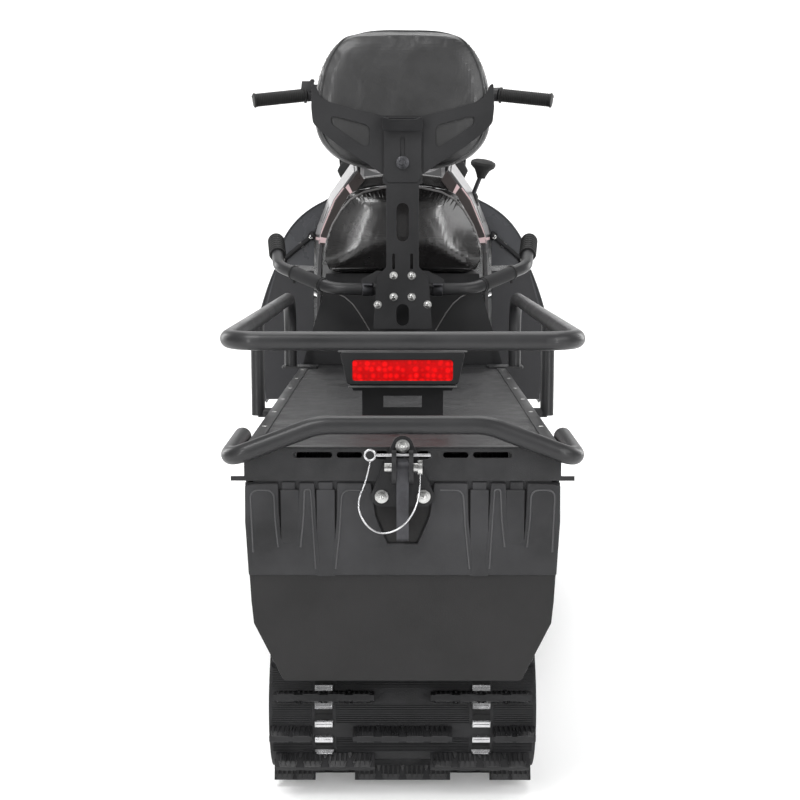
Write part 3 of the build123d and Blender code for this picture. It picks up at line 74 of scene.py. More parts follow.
def surface(name, color, rough, metal=0.0, mottle=(9.0, 0.18), grain=(900.0, 0.00012), spread=0.08,
            second=None, coat=0.0, spec=0.5):
    """Procedural surface: mottled colour, roughness that varies, and a fine bump in metres."""
    made = bpy.data.materials.new(name)
    made.use_nodes = True
    tree = made.node_tree
    shader = tree.nodes["Principled BSDF"]
    place = node(tree, "TexCoord").outputs["Object"]
    broad = node(tree, "TexNoise", Vector=place, Scale=mottle[0], Detail=5.0, Roughness=0.6).outputs["Fac"]
    ramp = tree.nodes.new("ShaderNodeValToRGB")
    tree.links.new(broad, ramp.inputs["Fac"])
    low, high = ramp.color_ramp.elements
    low.position, high.position = 0.3, 0.7
    low.color = rgba(color, 1 - mottle[1])
    high.color = rgba(second or color, 1 + mottle[1])
    tree.links.new(ramp.outputs["Color"], shader.inputs["Base Color"])
    level = node(tree, "MapRange", Value=broad, From_Min=0.3, From_Max=0.7,
                 To_Min=max(0.03, rough - spread), To_Max=min(1.0, rough + spread))
    tree.links.new(level.outputs["Result"], shader.inputs["Roughness"])
    fine = node(tree, "TexNoise", Vector=place, Scale=grain[0], Detail=3.0, Roughness=0.65).outputs["Fac"]
    bump = node(tree, "Bump", Height=fine, Distance=grain[1], Strength=1.0)
    tree.links.new(bump.outputs["Normal"], shader.inputs["Normal"])
    shader.inputs["Metallic"].default_value = metal
    shader.inputs["Specular IOR Level"].default_value = spec
    shader.inputs["Coat Weight"].default_value = coat
    shader.inputs["Coat Roughness"].default_value = 0.12
    return made


def leather(name, color, rough, fold, coat):
    """Coated seat cover: pebbled cells with fine creases between them."""
    made = surface(name, color, rough, mottle=(11.0, 0.22), grain=(420.0, 0.00014), spread=0.06, coat=coat)
    tree = made.node_tree
    shader = tree.nodes["Principled BSDF"]
    place = node(tree, "TexCoord").outputs["Object"]
    cells = node(tree, "TexVoronoi", Vector=place, Scale=520.0).outputs["Distance"]
    folds = node(tree, "TexNoise", Vector=place, Scale=17.0, Detail=2.0, Distortion=0.6).outputs["Fac"]
    first = node(tree, "Bump", Height=folds, Distance=fold, Strength=1.0)
    last = node(tree, "Bump", Height=cells, Distance=0.00012, Strength=0.6, Normal=first.outputs["Normal"])
    tree.links.new(last.outputs["Normal"], shader.inputs["Normal"])
    return made


def black(name, level, rough, **more):
    """Dull black with a trace of blue."""
    return surface(name, (level, level, level + 0.001), rough, spec=0.28, **more)


tube_black = black("tube_black", 0.019, 0.42, grain=(1400.0, 0.00008), coat=0.1)
plate_black = black("plate_black", 0.015, 0.45, grain=(1500.0, 0.00008))
deck_black = black("deck_black", 0.018, 0.5, mottle=(22.0, 0.35), grain=(620.0, 0.0004), spread=0.14)
rubber_black = black("rubber_black", 0.012, 0.62, mottle=(16.0, 0.3), grain=(520.0, 0.0003))
flap_black = black("flap_black", 0.0175, 0.50, mottle=(8.0, 0.35), grain=(700.0, 0.00015),
                   second=(0.023, 0.023, 0.0245), spread=0.12)
flap_low = surface("flap_low", (0.0100, 0.0096, 0.0098), 0.46, mottle=(9.0, 0.4), grain=(700.0, 0.00015),
                   spread=0.14, spec=0.28)
# Flap beads: lighter than the flap, a painted highlight along its raised edges
flap_bead_highlight = surface("flap_bead_highlight", (0.034, 0.034, 0.036), 0.42, mottle=(14.0, 0.25), grain=(700.0, 0.0001))
# Painted shade: a near-black matte laid in holes and vents, standing in for the shade inside them
painted_slot_shade = surface("painted_slot_shade", (0.0030, 0.0030, 0.0032), 0.9, mottle=(30.0, 0.3), grain=(500.0, 0.0002))
track_rubber = black("track_rubber", 0.014, 0.6, mottle=(28.0, 0.4), grain=(480.0, 0.0004), spread=0.12)
lug_rubber = surface("lug_rubber", (0.017, 0.017, 0.018), 0.34, mottle=(40.0, 0.4), grain=(600.0, 0.0002),
                     spread=0.1)
base_black = black("base_black", 0.013, 0.5, grain=(760.0, 0.0003))
cowl_grey = surface("cowl_grey", (0.040, 0.042, 0.048), 0.3, mottle=(4.0, 0.1), grain=(900.0, 0.00005),
                    coat=0.5)
cover_pale = surface("cover_pale", (0.165, 0.160, 0.165), 0.42, mottle=(5.0, 0.06), grain=(900.0, 0.00004),
                     coat=0.4)
cowl_dark = surface("cowl_dark", (0.024, 0.024, 0.027), 0.42, mottle=(5.0, 0.15), grain=(900.0, 0.00008),
                    spec=0.4)
cover_brown = surface("cover_brown", (0.022, 0.015, 0.014), 0.35, mottle=(9.0, 0.2), grain=(900.0, 0.00006),
                      coat=0.3)
alloy_dark = surface("alloy_dark", (0.10, 0.10, 0.10), 0.4, metal=0.6, mottle=(30.0, 0.2),
                     grain=(900.0, 0.00008))
cover_dark = surface("cover_dark", (0.030, 0.029, 0.031), 0.36, mottle=(6.0, 0.12), coat=0.3)
cover_line = surface("cover_line", (0.60, 0.44, 0.45), 0.35, mottle=(6.0, 0.06), coat=0.3)
steel_dark = surface("steel_dark", (0.055, 0.055, 0.060), 0.40, metal=0.7, mottle=(40.0, 0.3),
                     grain=(900.0, 0.0001))
steel_bright = surface("steel_bright", (0.62, 0.62, 0.63), 0.24, metal=1.0, mottle=(60.0, 0.14),
                       grain=(1200.0, 0.00006))
zinc = surface("zinc", (0.50, 0.50, 0.49), 0.3, metal=1.0, mottle=(80.0, 0.2), grain=(900.0, 0.00008))
alloy = surface("alloy", (0.46, 0.47, 0.48), 0.38, metal=1.0, mottle=(30.0, 0.12), grain=(700.0, 0.0001))
engine_cast = surface("engine_cast", (0.30, 0.30, 0.31), 0.55, metal=0.8, mottle=(50.0, 0.2),
                      grain=(500.0, 0.0005))
wheel_black = black("wheel_black", 0.014, 0.5, grain=(900.0, 0.0001))
spring_black = surface("spring_black", (0.03, 0.03, 0.032), 0.35, grain=(900.0, 0.00008), coat=0.2)
ski_black = black("ski_black", 0.016, 0.48, mottle=(10.0, 0.25), grain=(600.0, 0.0002))
grip_black = surface("grip_black", (0.011, 0.011, 0.011), 0.6, grain=(900.0, 0.0002), spec=0.28)
seat_leather = leather("seat_leather", (0.0115, 0.0108, 0.0108), 0.24, 0.0016, 0.55)
back_leather = leather("back_leather", (0.019, 0.019, 0.0195), 0.40, 0.0034, 0.10)
piping_grey = surface("piping_grey", (0.15, 0.145, 0.145), 0.4, mottle=(40.0, 0.2), grain=(900.0, 0.00006))
side_leather = leather("side_leather", (0.030, 0.022, 0.021), 0.30, 0.0050, 0.35)
wire_bright = surface("wire_bright", (0.55, 0.55, 0.56), 0.3, metal=1.0, mottle=(90.0, 0.15),
                      grain=(3000.0, 0.00004))


def lamp_lens():
    """Red lens with a row of bright diodes and cut facets behind it."""
    made = surface("lamp_lens", (0.36, 0.001, 0.002), 0.16, mottle=(60.0, 0.3), grain=(300.0, 0.0003),
                   coat=0.12, spec=0.2)
    tree = made.node_tree
    shader = tree.nodes["Principled BSDF"]
    place = node(tree, "TexCoord").outputs["Object"]
    spots = node(tree, "TexVoronoi", Vector=place, Scale=105.0, Randomness=0.35).outputs["Distance"]
    ramp = tree.nodes.new("ShaderNodeValToRGB")
    tree.links.new(spots, ramp.inputs["Fac"])
    ramp.color_ramp.elements[0].position = 0.10
    ramp.color_ramp.elements[0].color = (1.0, 0.22, 0.18, 1)
    ramp.color_ramp.elements[1].position = 0.62
    ramp.color_ramp.elements[1].color = (0.22, 0.0, 0.0, 1)
    ramp.color_ramp.elements.new(0.30).color = (0.72, 0.003, 0.003, 1)
    tree.links.new(ramp.outputs["Color"], shader.inputs["Emission Color"])
    shader.inputs["Emission Strength"].default_value = 1.1
    return made


def smoked():
    made = surface("smoked", (0.070, 0.074, 0.080), 0.10, mottle=(3.0, 0.05), grain=(12.0, 0.000004),
                   spread=0.02)
    shader = made.node_tree.nodes["Principled BSDF"]
    shader.inputs["Alpha"].default_value = 0.62
    return made


lens_red = lamp_lens()
screen_smoked = smoked()
lens_clear = surface("lens_clear", (0.55, 0.57, 0.6), 0.08, mottle=(20.0, 0.1), grain=(90.0, 0.0002),
                     spread=0.03, coat=0.8)

LOOKS = {
    "track": track_rubber, "slide_rails": alloy, "idler_wheels": wheel_black, "suspension_arms": plate_black,
    "rear_shocks": spring_black, "drive_sprockets": wheel_black, "tunnel": deck_black,
    "footboards": deck_black, "rear_bumper": tube_black, "cargo_hoop": tube_black,
    "lamp_bracket": plate_black, "tail_lamp": lens_red, "rear_flap": flap_black, "hitch_plate": plate_black,
    "hitch_tongue": steel_dark, "hitch_pin": zinc, "hitch_clip": wire_bright, "hitch_tether": wire_bright,
    "seat_base": base_black, "seat_cushion": seat_leather, "backrest_cushion": back_leather,
    "backrest_post": plate_black, "backrest_wings": plate_black, "grab_rail": tube_black,
    "grab_grips": grip_black, "tank_covers": cover_dark, "dash_console": base_black, "hood": cowl_grey,
    "windshield": screen_smoked, "side_panels": cowl_grey, "belly_pan": base_black, "front_frame": alloy,
    "engine_block": engine_cast, "front_bumper": tube_black, "steering_column": plate_black,
    "handlebar": tube_black, "bar_grips": grip_black, "tie_rods": zinc, "ski_left": ski_black,
    "ski_right": ski_black, "spindle_left": plate_black, "spindle_right": plate_black,
    "ski_arms": plate_black, "front_shocks": spring_black,
}
for name, look in LOOKS.items():
    mesh = NODES[name].data
    mesh.materials.clear()
    mesh.materials.append(look)


# Builders
SHARP_FROM = math.radians(32)  # edges that turn more than this stay sharp in shading
BEVEL_FROM = math.radians(30)  # edges that turn more than this are softened


def piece(name, mesh, look, body, smooth=True):
    """Links a mesh as a piece that rides on a body."""
    made = bpy.data.objects.new(name, mesh)
    bpy.context.scene.collection.objects.link(made)
    mesh.materials.append(look)
    if smooth:
        mesh.shade_smooth()
        mesh.set_sharp_from_angle(angle=SHARP_FROM)
    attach(made, body)
    return made


def mm(sizes):
    """Metres from a size, a point or a list of them in millimetres."""
    return sizes / 1000 if isinstance(sizes, (int, float)) else [mm(size) for size in sizes]


def spread(low, high, count, side=1):
    """Even steps from low to high, on one side of the middle."""
    return [side * (low + (high - low) * k / (count - 1)) for k in range(count)]


def frame_at(start, along):
    """Matrix whose Z runs along a direction from a point."""
    turn = Vector(along).to_track_quat("Z", "Y")
    return Matrix.Translation(Vector(start)) @ turn.to_matrix().to_4x4()


def turned(bm, start, along, profile, sides=20):
    """Adds a body of revolution: profile is a list of (distance along, radius)."""
    place = frame_at(start, along)
    rings = []
    for reach, radius in profile:
        if radius <= 0:
            rings.append([bm.verts.new(place @ Vector((0, 0, reach)))])
        else:
            rings.append([
                bm.verts.new(place @ Vector((radius * math.cos(2 * math.pi * k / sides),
                                             radius * math.sin(2 * math.pi * k / sides), reach)))
                for k in range(sides)
            ])
    for low, high in zip(rings, rings[1:]):
        for k in range(sides):
            n = (k + 1) % sides
            if len(low) == 1 and len(high) > 1:
                bm.faces.new((low[0], high[n], high[k]))
            elif len(high) == 1 and len(low) > 1:
                bm.faces.new((low[k], low[n], high[0]))
            elif len(low) > 1:
                bm.faces.new((low[k], low[n], high[n], high[k]))
    for ring in (list(reversed(rings[0])), rings[-1]):
        if len(ring) > 1:
            bm.faces.new(ring)


def walled(bm, under, over):
    """Faces between two rings of vertices."""
    for k in range(len(under)):
        bm.faces.new((under[k - 1], under[k], over[k], over[k - 1]))


def capped(bm, under, over):
    """Closed form between two rings of points."""
    under, over = ([bm.verts.new(p) for p in ring] for ring in (under, over))
    bm.faces.new(over)
    bm.faces.new(list(reversed(under)))
    walled(bm, under, over)


def prism(bm, outline, place, low, high):
    """Adds a closed prism of an outline in a placed frame, from low to high along its Z."""
    capped(bm, *([place @ Vector((x, y, z)) for x, y in outline] for z in (low, high)))


def box_at(bm, low, high):
    """Adds a box between two corners."""
    xa, ya, za = low
    xb, yb, zb = high
    prism(bm, [(xa, ya), (xb, ya), (xb, yb), (xa, yb)], Matrix.Identity(4), za, zb)


def ended(bm, name, bevel=0.0, segments=2):
    """Turns the built form into a mesh, with softened edges where bevel is given."""
    bmesh.ops.recalc_face_normals(bm, faces=bm.faces)
    if bevel:
        edges = [e for e in bm.edges if len(e.link_faces) == 2 and e.calc_face_angle(0) > BEVEL_FROM]
        bmesh.ops.bevel(bm, geom=edges, offset=bevel, segments=segments, profile=0.6, affect="EDGES",
                        clamp_overlap=True)
    mesh = bpy.data.meshes.new(name)
    bm.to_mesh(mesh)
    bm.free()
    return mesh


def hexagon(radius):
    return [(radius * math.cos(math.pi * k / 3), radius * math.sin(math.pi * k / 3)) for k in range(6)]


def bolt(bm, start, along, across, proud):
    """Adds a washer with a hexagon head and a domed shank end on it."""
    washer = [(0, across * 0.82), (proud * 0.22, across * 0.8), (proud * 0.22, across * 0.3)]
    turned(bm, start, along, washer, 20)
    prism(bm, hexagon(across * 0.58), frame_at(start, along), proud * 0.2, proud)
    shank = [(proud * 0.9, across * 0.28), (proud * 1.35, across * 0.24), (proud * 1.5, 0)]
    turned(bm, Vector(start), along, shank, 12)


def corner(before, at, after, radius, steps):
    """Points of an arc-like curve that replaces a corner."""
    cut = min(radius, (before - at).length * 0.48, (after - at).length * 0.48)
    first = at + (before - at).normalized() * cut
    last = at + (after - at).normalized() * cut
    shares = [k / steps for k in range(steps + 1)]
    return [first * (1 - t) ** 2 + at * 2 * t * (1 - t) + last * t * t for t in shares]


def rounded(points, radius, steps=6):
    """Path with its inner corners rounded."""
    points = [Vector(p) for p in points]
    path = [points[0]]
    for before, at, after in zip(points, points[1:], points[2:]):
        path += corner(before, at, after, radius, steps)
    return path + [points[-1]]


def turn_of(side, other, n, sides):
    """Direction of the nth of some even steps round a circle."""
    return side * math.cos(2 * math.pi * n / sides) + other * math.sin(2 * math.pi * n / sides)


def swept(bm, path, radius, sides=12):
    """Adds a closed tube along a path; radius is a number or a function of the share along it."""
    path = [Vector(p) for p in path]
    total = sum((b - a).length for a, b in zip(path, path[1:]))
    rings = []
    run = 0.0
    side = None
    for k, at in enumerate(path):
        ahead = path[min(k + 1, len(path) - 1)] - path[max(k - 1, 0)]
        ahead.normalize()
        if side is None:
            side = ahead.orthogonal().normalized()
        side = (side - ahead * side.dot(ahead)).normalized()
        other = ahead.cross(side)
        if k:
            run += (at - path[k - 1]).length
        size = radius(run / total) if callable(radius) else radius
        rings.append([bm.verts.new(at + turn_of(side, other, n, sides) * size) for n in range(sides)])
    for low, high in zip(rings, rings[1:]):
        walled(bm, low, high)
    bm.faces.new(list(reversed(rings[0])))
    bm.faces.new(rings[-1])


def eased(points, radius, steps=4):
    """Closed outline with its corners rounded."""
    points = [Vector(p) for p in points]
    out = []
    for k, at in enumerate(points):
        out += corner(points[k - 1], at, points[(k + 1) % len(points)], radius, steps)
    return out


def cut_plate(name, outlines, thick, place, edge=0.0004):
    """Plate with soft edges in a placed frame: its rim, then its holes."""
    curve = bpy.data.curves.new(name, "CURVE")
    curve.dimensions = "2D"
    curve.fill_mode = "BOTH"
    curve.extrude = thick / 2 - edge
    curve.bevel_depth = edge
    curve.offset = -edge
    for outline in outlines:
        spline = curve.splines.new("POLY")
        spline.points.add(len(outline) - 1)
        for point, at in zip(spline.points, outline):
            point.co = (at[0], at[1], 0, 1)
        spline.use_cyclic_u = True
    shown = bpy.data.objects.new(name, curve)
    bpy.context.scene.collection.objects.link(shown)
    mesh = bpy.data.meshes.new_from_object(shown.evaluated_get(bpy.context.evaluated_depsgraph_get()))
    bpy.data.objects.remove(shown)
    bpy.data.curves.remove(curve)
    mesh.transform(place)
    mesh.materials.clear()
    return mesh


def upright(y, lean=0.0, z=0.0):
    """Frame of a plate that faces the rear at y: its x stays x and its y is z."""
    return Matrix.Translation((0, y, z)) @ Matrix.Rotation(math.radians(90 + lean), 4, "X")


def sideways(x):
    """Frame of a plate that faces sideways at x: its x is y and its y is z."""
    return Matrix.Translation((x, 0, 0)) @ Matrix(((0, 0, 1), (1, 0, 0), (0, 1, 0))).to_4x4()


def mirrored(half):
    """Closed outline from its right half, given from the top middle to the bottom middle."""
    return list(half) + [(-x, z) for x, z in reversed(half) if x]


def flip(side, points):
    """Outline given for the right half, on a side of the middle."""
    return [(side * x, z) for x, z in points]


def collar(length, low, high, edge=0.001):
    """Profile of a band that stands proud of a tube, with sloped ends."""
    return [(0, low), (edge, high), (length - edge, high), (length, low)]


def disc(x, z, radius, steps=28):
    return [(x + radius * math.cos(2 * math.pi * k / steps), z + radius * math.sin(2 * math.pi * k / steps))
            for k in range(steps)]


def slot_hole(x, low, high, half):
    """Outline of a slot with round ends."""
    turns = [k * math.pi / 10 for k in range(11)]
    top = [(x + half * math.cos(a), high - half + half * math.sin(a)) for a in turns]
    end = [(x - half * math.cos(a), low + half - half * math.sin(a)) for a in turns]
    return top + end


def joined(name, meshes):
    """One mesh out of several."""
    bm = bmesh.new()
    for mesh in meshes:
        bm.from_mesh(mesh)
        bpy.data.meshes.remove(mesh)
    made = bpy.data.meshes.new(name)
    bm.to_mesh(made)
    bm.free()
    return made


def form(name, bm, look, bevel=0.0, segments=2, body="root", smooth=True):
    """Links a built form as a piece, with softened edges where bevel is given."""
    return piece(name, ended(bm, name, bevel, segments), look, body, smooth)


def plates(name, parts, look, body="root"):
    """Links several plates as one piece."""
    return piece(name, joined(name, parts), look, body)


# The free wire between the pin and the clip
TETHER_Y = -1.518
TETHER = (
    (-0.043, TETHER_Y, 0.5117), (-0.047, TETHER_Y - 0.004, 0.489), (-0.061, TETHER_Y - 0.016, 0.458),
    (-0.049, TETHER_Y - 0.021, 0.430), (-0.026, TETHER_Y - 0.023, 0.418), (0.001, TETHER_Y - 0.024, 0.429),
    (0.017, TETHER_Y - 0.021, 0.452), (0.023, TETHER_Y - 0.005, 0.473), (0.023, TETHER_Y, 0.4937),
)
line = bpy.data.curves.new("tether_wire", "CURVE")
line.dimensions = "3D"
spline = line.splines.new("NURBS")
spline.points.add(len(TETHER) - 1)
for point, at in zip(spline.points, TETHER):
    point.co = (*at, 1)
spline.order_u = 3
spline.use_endpoint_u = True
spline.resolution_u = 12
line.bevel_depth = 0.0012
line.bevel_resolution = 3
line.materials.append(wire_bright)
tether = bpy.data.objects.new("tether_wire", line)
bpy.context.scene.collection.objects.link(tether)
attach(tether, "root")
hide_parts("hitch_tether")


# Leather cushions
CLOTH_FRAMES = 20
EVENING_ROUNDS = 14


def inflate(made, voxel, pressure, cap, shrink):
    """Blows a closed cushion up as sewn cloth, within a cap of its start, and evens the swelling out."""
    remesh = made.modifiers.new("remesh", "REMESH")
    remesh.mode = "VOXEL"
    remesh.voxel_size = voxel
    apply_all(made)
    mesh = made.data
    normals = [v.normal.copy() for v in mesh.vertices]
    for v, n in zip(mesh.vertices, normals):
        v.co -= n * shrink
    start = [v.co.copy() for v in mesh.vertices]
    cloth = made.modifiers.new("cloth", "CLOTH")
    cloth.settings.quality = 5
    cloth.settings.mass = 0.4
    cloth.settings.tension_stiffness = 22
    cloth.settings.compression_stiffness = 22
    cloth.settings.shear_stiffness = 8
    cloth.settings.bending_stiffness = 8
    cloth.settings.use_pressure = True
    cloth.settings.uniform_pressure_force = pressure
    cloth.settings.effector_weights.gravity = 0
    cloth.point_cache.frame_start = 1
    cloth.point_cache.frame_end = CLOTH_FRAMES
    for step in range(1, CLOTH_FRAMES + 1):
        bpy.context.scene.frame_set(step)
    graph = bpy.context.evaluated_depsgraph_get()
    shape = made.evaluated_get(graph).data
    moved = [v.co.copy() for v in shape.vertices]
    made.modifiers.remove(cloth)
    lifts = [max(-cap, min(cap, (b - a).dot(n))) for a, b, n in zip(start, moved, normals)]
    links = [[] for _ in lifts]
    for edge in made.data.edges:
        one, other = edge.vertices
        links[one].append(other)
        links[other].append(one)
    for _ in range(EVENING_ROUNDS):
        lifts = [0.5 * lift + 0.5 * sum(lifts[k] for k in near) / max(len(near), 1)
                 for lift, near in zip(lifts, links)]
    for v, a, n, lift in zip(made.data.vertices, start, normals, lifts):
        v.co = a + n * lift
    bpy.context.scene.frame_set(1)


def apply_all(made):
    """Replaces the piece's mesh by its modified one and clears the modifiers."""
    graph = bpy.context.evaluated_depsgraph_get()
    mesh = bpy.data.meshes.new_from_object(made.evaluated_get(graph))
    old = made.data
    made.modifiers.clear()
    made.data = mesh
    bpy.data.meshes.remove(old)


def lofted(name, rings):
    """Mesh through rings of equal count, with fans at both ends."""
    bm = bmesh.new()
    loops = [[bm.verts.new(p) for p in ring] for ring in rings]
    count = len(loops[0])
    for low, high in zip(loops, loops[1:]):
        walled(bm, low, high)
    for loop in (loops[0], loops[-1]):
        middle = bm.verts.new(sum((v.co for v in loop), Vector()) / count)
        for k in range(count):
            bm.faces.new((loop[k], loop[(k + 1) % count], middle))
    bmesh.ops.recalc_face_normals(bm, faces=bm.faces)
    mesh = bpy.data.meshes.new(name)
    bm.to_mesh(mesh)
    bm.free()
    return mesh


def interpolate(table, at):
    """Row of a table at a place of its first column, by smooth steps between rows."""
    if at <= table[0][0]:
        return table[0][1:]
    for low, high in zip(table, table[1:]):
        if at <= high[0]:
            t = (at - low[0]) / (high[0] - low[0])
            return tuple(a + (b - a) * t for a, b in zip(low[1:], high[1:]))
    return table[-1][1:]


# Stations of the seat: y, bottom half width, widest half width, its z, shoulder half width, its z, top z
SEAT = mm([(-427, 160, 172, 745, 119, 879, 905), (-200, 165, 172, 740, 112, 855, 880),
           (30, 120, 130, 745, 92, 855, 875), (110, 70, 80, 790, 60, 900, 915)])
SEAT_LOW = 0.718
SEAT_REAR = -0.427
SEAT_LONG = 0.537


def seat_ring(y):
    low, wide, wide_z, top, shoulder, crown = interpolate(SEAT, y)
    right = []
    for k in range(5):
        t = k / 4
        right.append((low + (wide - low) * t, SEAT_LOW + (wide_z - SEAT_LOW) * t))
    for k in range(1, 13):
        t = k / 12
        bulge = math.sin(math.pi * t) * 0.010
        right.append((wide + (top - wide) * t + bulge, wide_z + (shoulder - wide_z) * t))
    for k in range(1, 9):
        a = k / 8 * math.pi / 2
        right.append((top * math.cos(a), shoulder + (crown - shoulder) * math.sin(a)))
    ring = right + [(-x, z) for x, z in reversed(right[:-1])]
    return [Vector((x, y, z)) for x, z in ring]


def seat_crown(share):
    """Ring of the crowned rear face, drawn in towards its middle."""
    middle = Vector((0, 0, 0.800))
    ring = []
    for p in seat_ring(SEAT_REAR):
        shrunk = middle + (Vector((p.x, 0, p.z)) - middle) * share
        ring.append(Vector((shrunk.x, SEAT_REAR - 0.024 * (1 - share ** 3), shrunk.z)))
    return ring


seat_rings = [seat_crown(share) for share in (0.2, 0.4, 0.55, 0.7, 0.82, 0.91, 0.97)]
seat_rings += [seat_ring(SEAT_REAR + SEAT_LONG * k / 30) for k in range(31)]
seat = piece("seat_cover", lofted("seat_cover", seat_rings), seat_leather, "root")
inflate(seat, 0.006, 4.0, 0.0075, 0.006)
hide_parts("seat_cushion")

# Outline of the backrest cushion, seen from the rear: x and z, right half from the top middle
BACK = mm([
    (0, 1205), (70, 1203), (110, 1196), (138, 1178), (158, 1150), (172, 1115), (181, 1070), (183, 1035),
    (178, 1000), (163, 972), (136, 948), (95, 934), (45, 930), (0, 929),
])
BACK_REAR = -0.5405


def closed_outline(half):
    return list(half) + [(-x, z) for x, z in reversed(half[1:-1])]


def smooth_loop(points, steps):
    """Catmull-Rom points through a closed outline."""
    count = len(points)
    out = []
    for k in range(count):
        a, b, c, d = (Vector(points[(k + n) % count]) for n in (-1, 0, 1, 2))
        for s in range(steps):
            t = s / steps
            out.append(0.5 * ((2 * b) + (c - a) * t + (2 * a - 5 * b + 4 * c - d) * t * t
                              + (3 * b - a - 3 * c + d) * t ** 3))
    return out


back_loop = smooth_loop(closed_outline(BACK), 4)
back_middle = Vector((0.0, 1.066))


def back_ring(y, share):
    return [Vector((back_middle.x + (p.x - back_middle.x) * share, y,
                    back_middle.y + (p.y - back_middle.y) * share)) for p in back_loop]


BACK_DEPTHS = (  # depth from the rear face, size of the outline
    (0.004, 0.60), (0.002, 0.80), (0.003, 0.92), (0.009, 0.975), (0.020, 0.995), (0.045, 1.0), (0.070, 0.995),
    (0.092, 0.975), (0.106, 0.93), (0.112, 0.85), (0.115, 0.65),
)
rings = [back_ring(BACK_REAR + depth, share) for depth, share in BACK_DEPTHS]
backrest = piece("backrest_cover", lofted("backrest_cover", rings), back_leather, "root")
inflate(backrest, 0.006, 4.0, 0.005, 0.005)
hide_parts("backrest_cushion")

# Track: bright clips, windows painted as dark shade, cross ribs and lug faces along the belt
PULLEYS = mm([(-1319, 128, 100), (-300, 258, 230), (160, 335, 72), (-850, 337, 70)])
BELT = 0.007
PITCHES = 72


def belt_runs(grow):
    """Arc round each pulley and the run to the next, grow outside the belt's inner face."""
    facings = []
    for k, (ya, za, ra) in enumerate(PULLEYS):
        yb, zb, rb = PULLEYS[(k + 1) % len(PULLEYS)]
        facings.append(math.atan2(zb - za, yb - ya) - math.acos((ra - rb) / math.hypot(yb - ya, zb - za)))
    runs = []
    for k, (y, z, radius) in enumerate(PULLEYS):
        y2, z2, radius2 = PULLEYS[(k + 1) % len(PULLEYS)]
        out = Vector((math.cos(facings[k]), math.sin(facings[k])))
        runs.append((Vector((y, z)), radius + grow, facings[k - 1],
                     (facings[k] - facings[k - 1]) % (2 * math.pi), Vector((y, z)) + out * (radius + grow),
                     Vector((y2, z2)) + out * (radius2 + grow)))
    return runs


def belt_length(grow):
    return sum(radius * turn + (reach - leave).length for _, radius, _, turn, leave, reach in belt_runs(grow))


def belt_frame(distance, grow):
    """Matrix on the belt: X across, Y along it, Z outward."""
    distance %= belt_length(grow)
    for middle, radius, start, turn, leave, reach in belt_runs(grow):
        arc = radius * turn
        run = (reach - leave).length
        if distance < arc:
            angle = start + distance / radius
            spot = middle + Vector((math.cos(angle), math.sin(angle))) * radius
            break
        if distance < arc + run:
            angle = start + turn
            spot = leave + (reach - leave) * ((distance - arc) / run)
            break
        distance -= arc + run
    out = Vector((0, math.cos(angle), math.sin(angle)))
    along = Vector((0, -math.sin(angle), math.cos(angle)))
    turn = Matrix((Vector((1, 0, 0)), along, out)).transposed()
    if turn.determinant() < 0:
        turn = Matrix((Vector((1, 0, 0)), -along, out)).transposed()
    return Matrix.Translation((0, spot.x, spot.y)) @ turn.to_4x4()


def slab(bm, place, low, high, taper=0.0):
    """Box in a placed frame; taper narrows its top on all sides."""
    xa, ya, za = low
    xb, yb, zb = high
    capped(bm, *([place @ Vector(p) for p in (
        (xa + t, ya + t, z), (xb - t, ya + t, z), (xb - t, yb - t, z), (xa + t, yb - t, z))]
        for z, t in ((za, 0), (zb, taper))))


def stud(bm, place, middle, half, heights, taper=0.0):
    """Slab round a middle, given by half its width and half its depth."""
    (x, y), (dx, dy), (low, high) = middle, half, heights
    slab(bm, place, (x - dx, y - dy, low), (x + dx, y + dy, high), taper)


pitch = belt_length(BELT) / PITCHES
WINDOW_X = 0.112
LUG_WIDE = 0.036
RIB_SPANS = mm([(-186, -129), (-95, 95), (129, 186)])
LUG_SPANS = mm([((-182, -40), (40, 182)), ((-188, -128), (-70, 70), (128, 188))])
clips, windows, ribs, lugs = (bmesh.new() for _ in range(4))
for k in range(PITCHES):
    at = belt_frame(k * pitch, BELT)
    between = belt_frame((k + 0.5) * pitch, BELT)
    for x in (-WINDOW_X, WINDOW_X):
        for y in (-0.0125, 0.0125):
            stud(clips, at, (x, y), (0.0137, 0.0052), (0.0, 0.0036), 0.0012)
            stud(clips, at, (x, y), (0.0115, 0.0012), (0.003, 0.0046), 0.0005)
        # Windows: flat near-black studs on the belt, painted shade in place of open holes
        stud(windows, between, (x, 0), (0.0125, 0.0088), (-0.0002, 0.0004))
        stud(windows, between, (x, 0), (0.0120, 0.0014), (0.0002, 0.0016), 0.0005)
    for share in spread(0.25, 0.75, 9):
        row = belt_frame((k + share) * pitch, BELT)
        for low, high in RIB_SPANS:
            slab(ribs, row, (low, -0.0010, -0.001), (high, 0.0010, 0.0011), 0.0004)
    for low, high in LUG_SPANS[k % 2]:
        count = max(2, round((high - low) / LUG_WIDE))
        for n in range(count):
            x = low + (high - low) * (n + 0.5) / count
            for flute in (-0.0105, -0.0035, 0.0035, 0.0105):
                stud(lugs, at, (x + flute, 0), (0.0020, 0.0088), (0.0, 0.0185), 0.0016)
            stud(lugs, at, (x, 0), (0.0135, 0.0072), (0.0125, 0.0208), 0.0022)
            if n:
                x = low + (high - low) * n / count
                stud(lugs, at, (x, 0), (0.0030, 0.0100), (0.0, 0.0080), 0.0020)
form("track_clips", clips, steel_bright, smooth=False)
form("track_windows", windows, painted_slot_shade, smooth=False)
form("track_ribs", ribs, track_rubber, smooth=False)
form("track_lug_faces", lugs, lug_rubber, smooth=False)

# Flap: a lower sheet, a thicker upper sheet with channels, and raised beads whose lighter colour is a painted
# highlight along the edges
FLAP_FRONT = -1.4857


def flap_prism(bm, outline, low, high):
    """Prism of an outline in x and z, its height measured rearward from the flap's front face."""
    capped(bm, *([(x, FLAP_FRONT - depth, z) for x, z in outline] for depth in (low, high)))


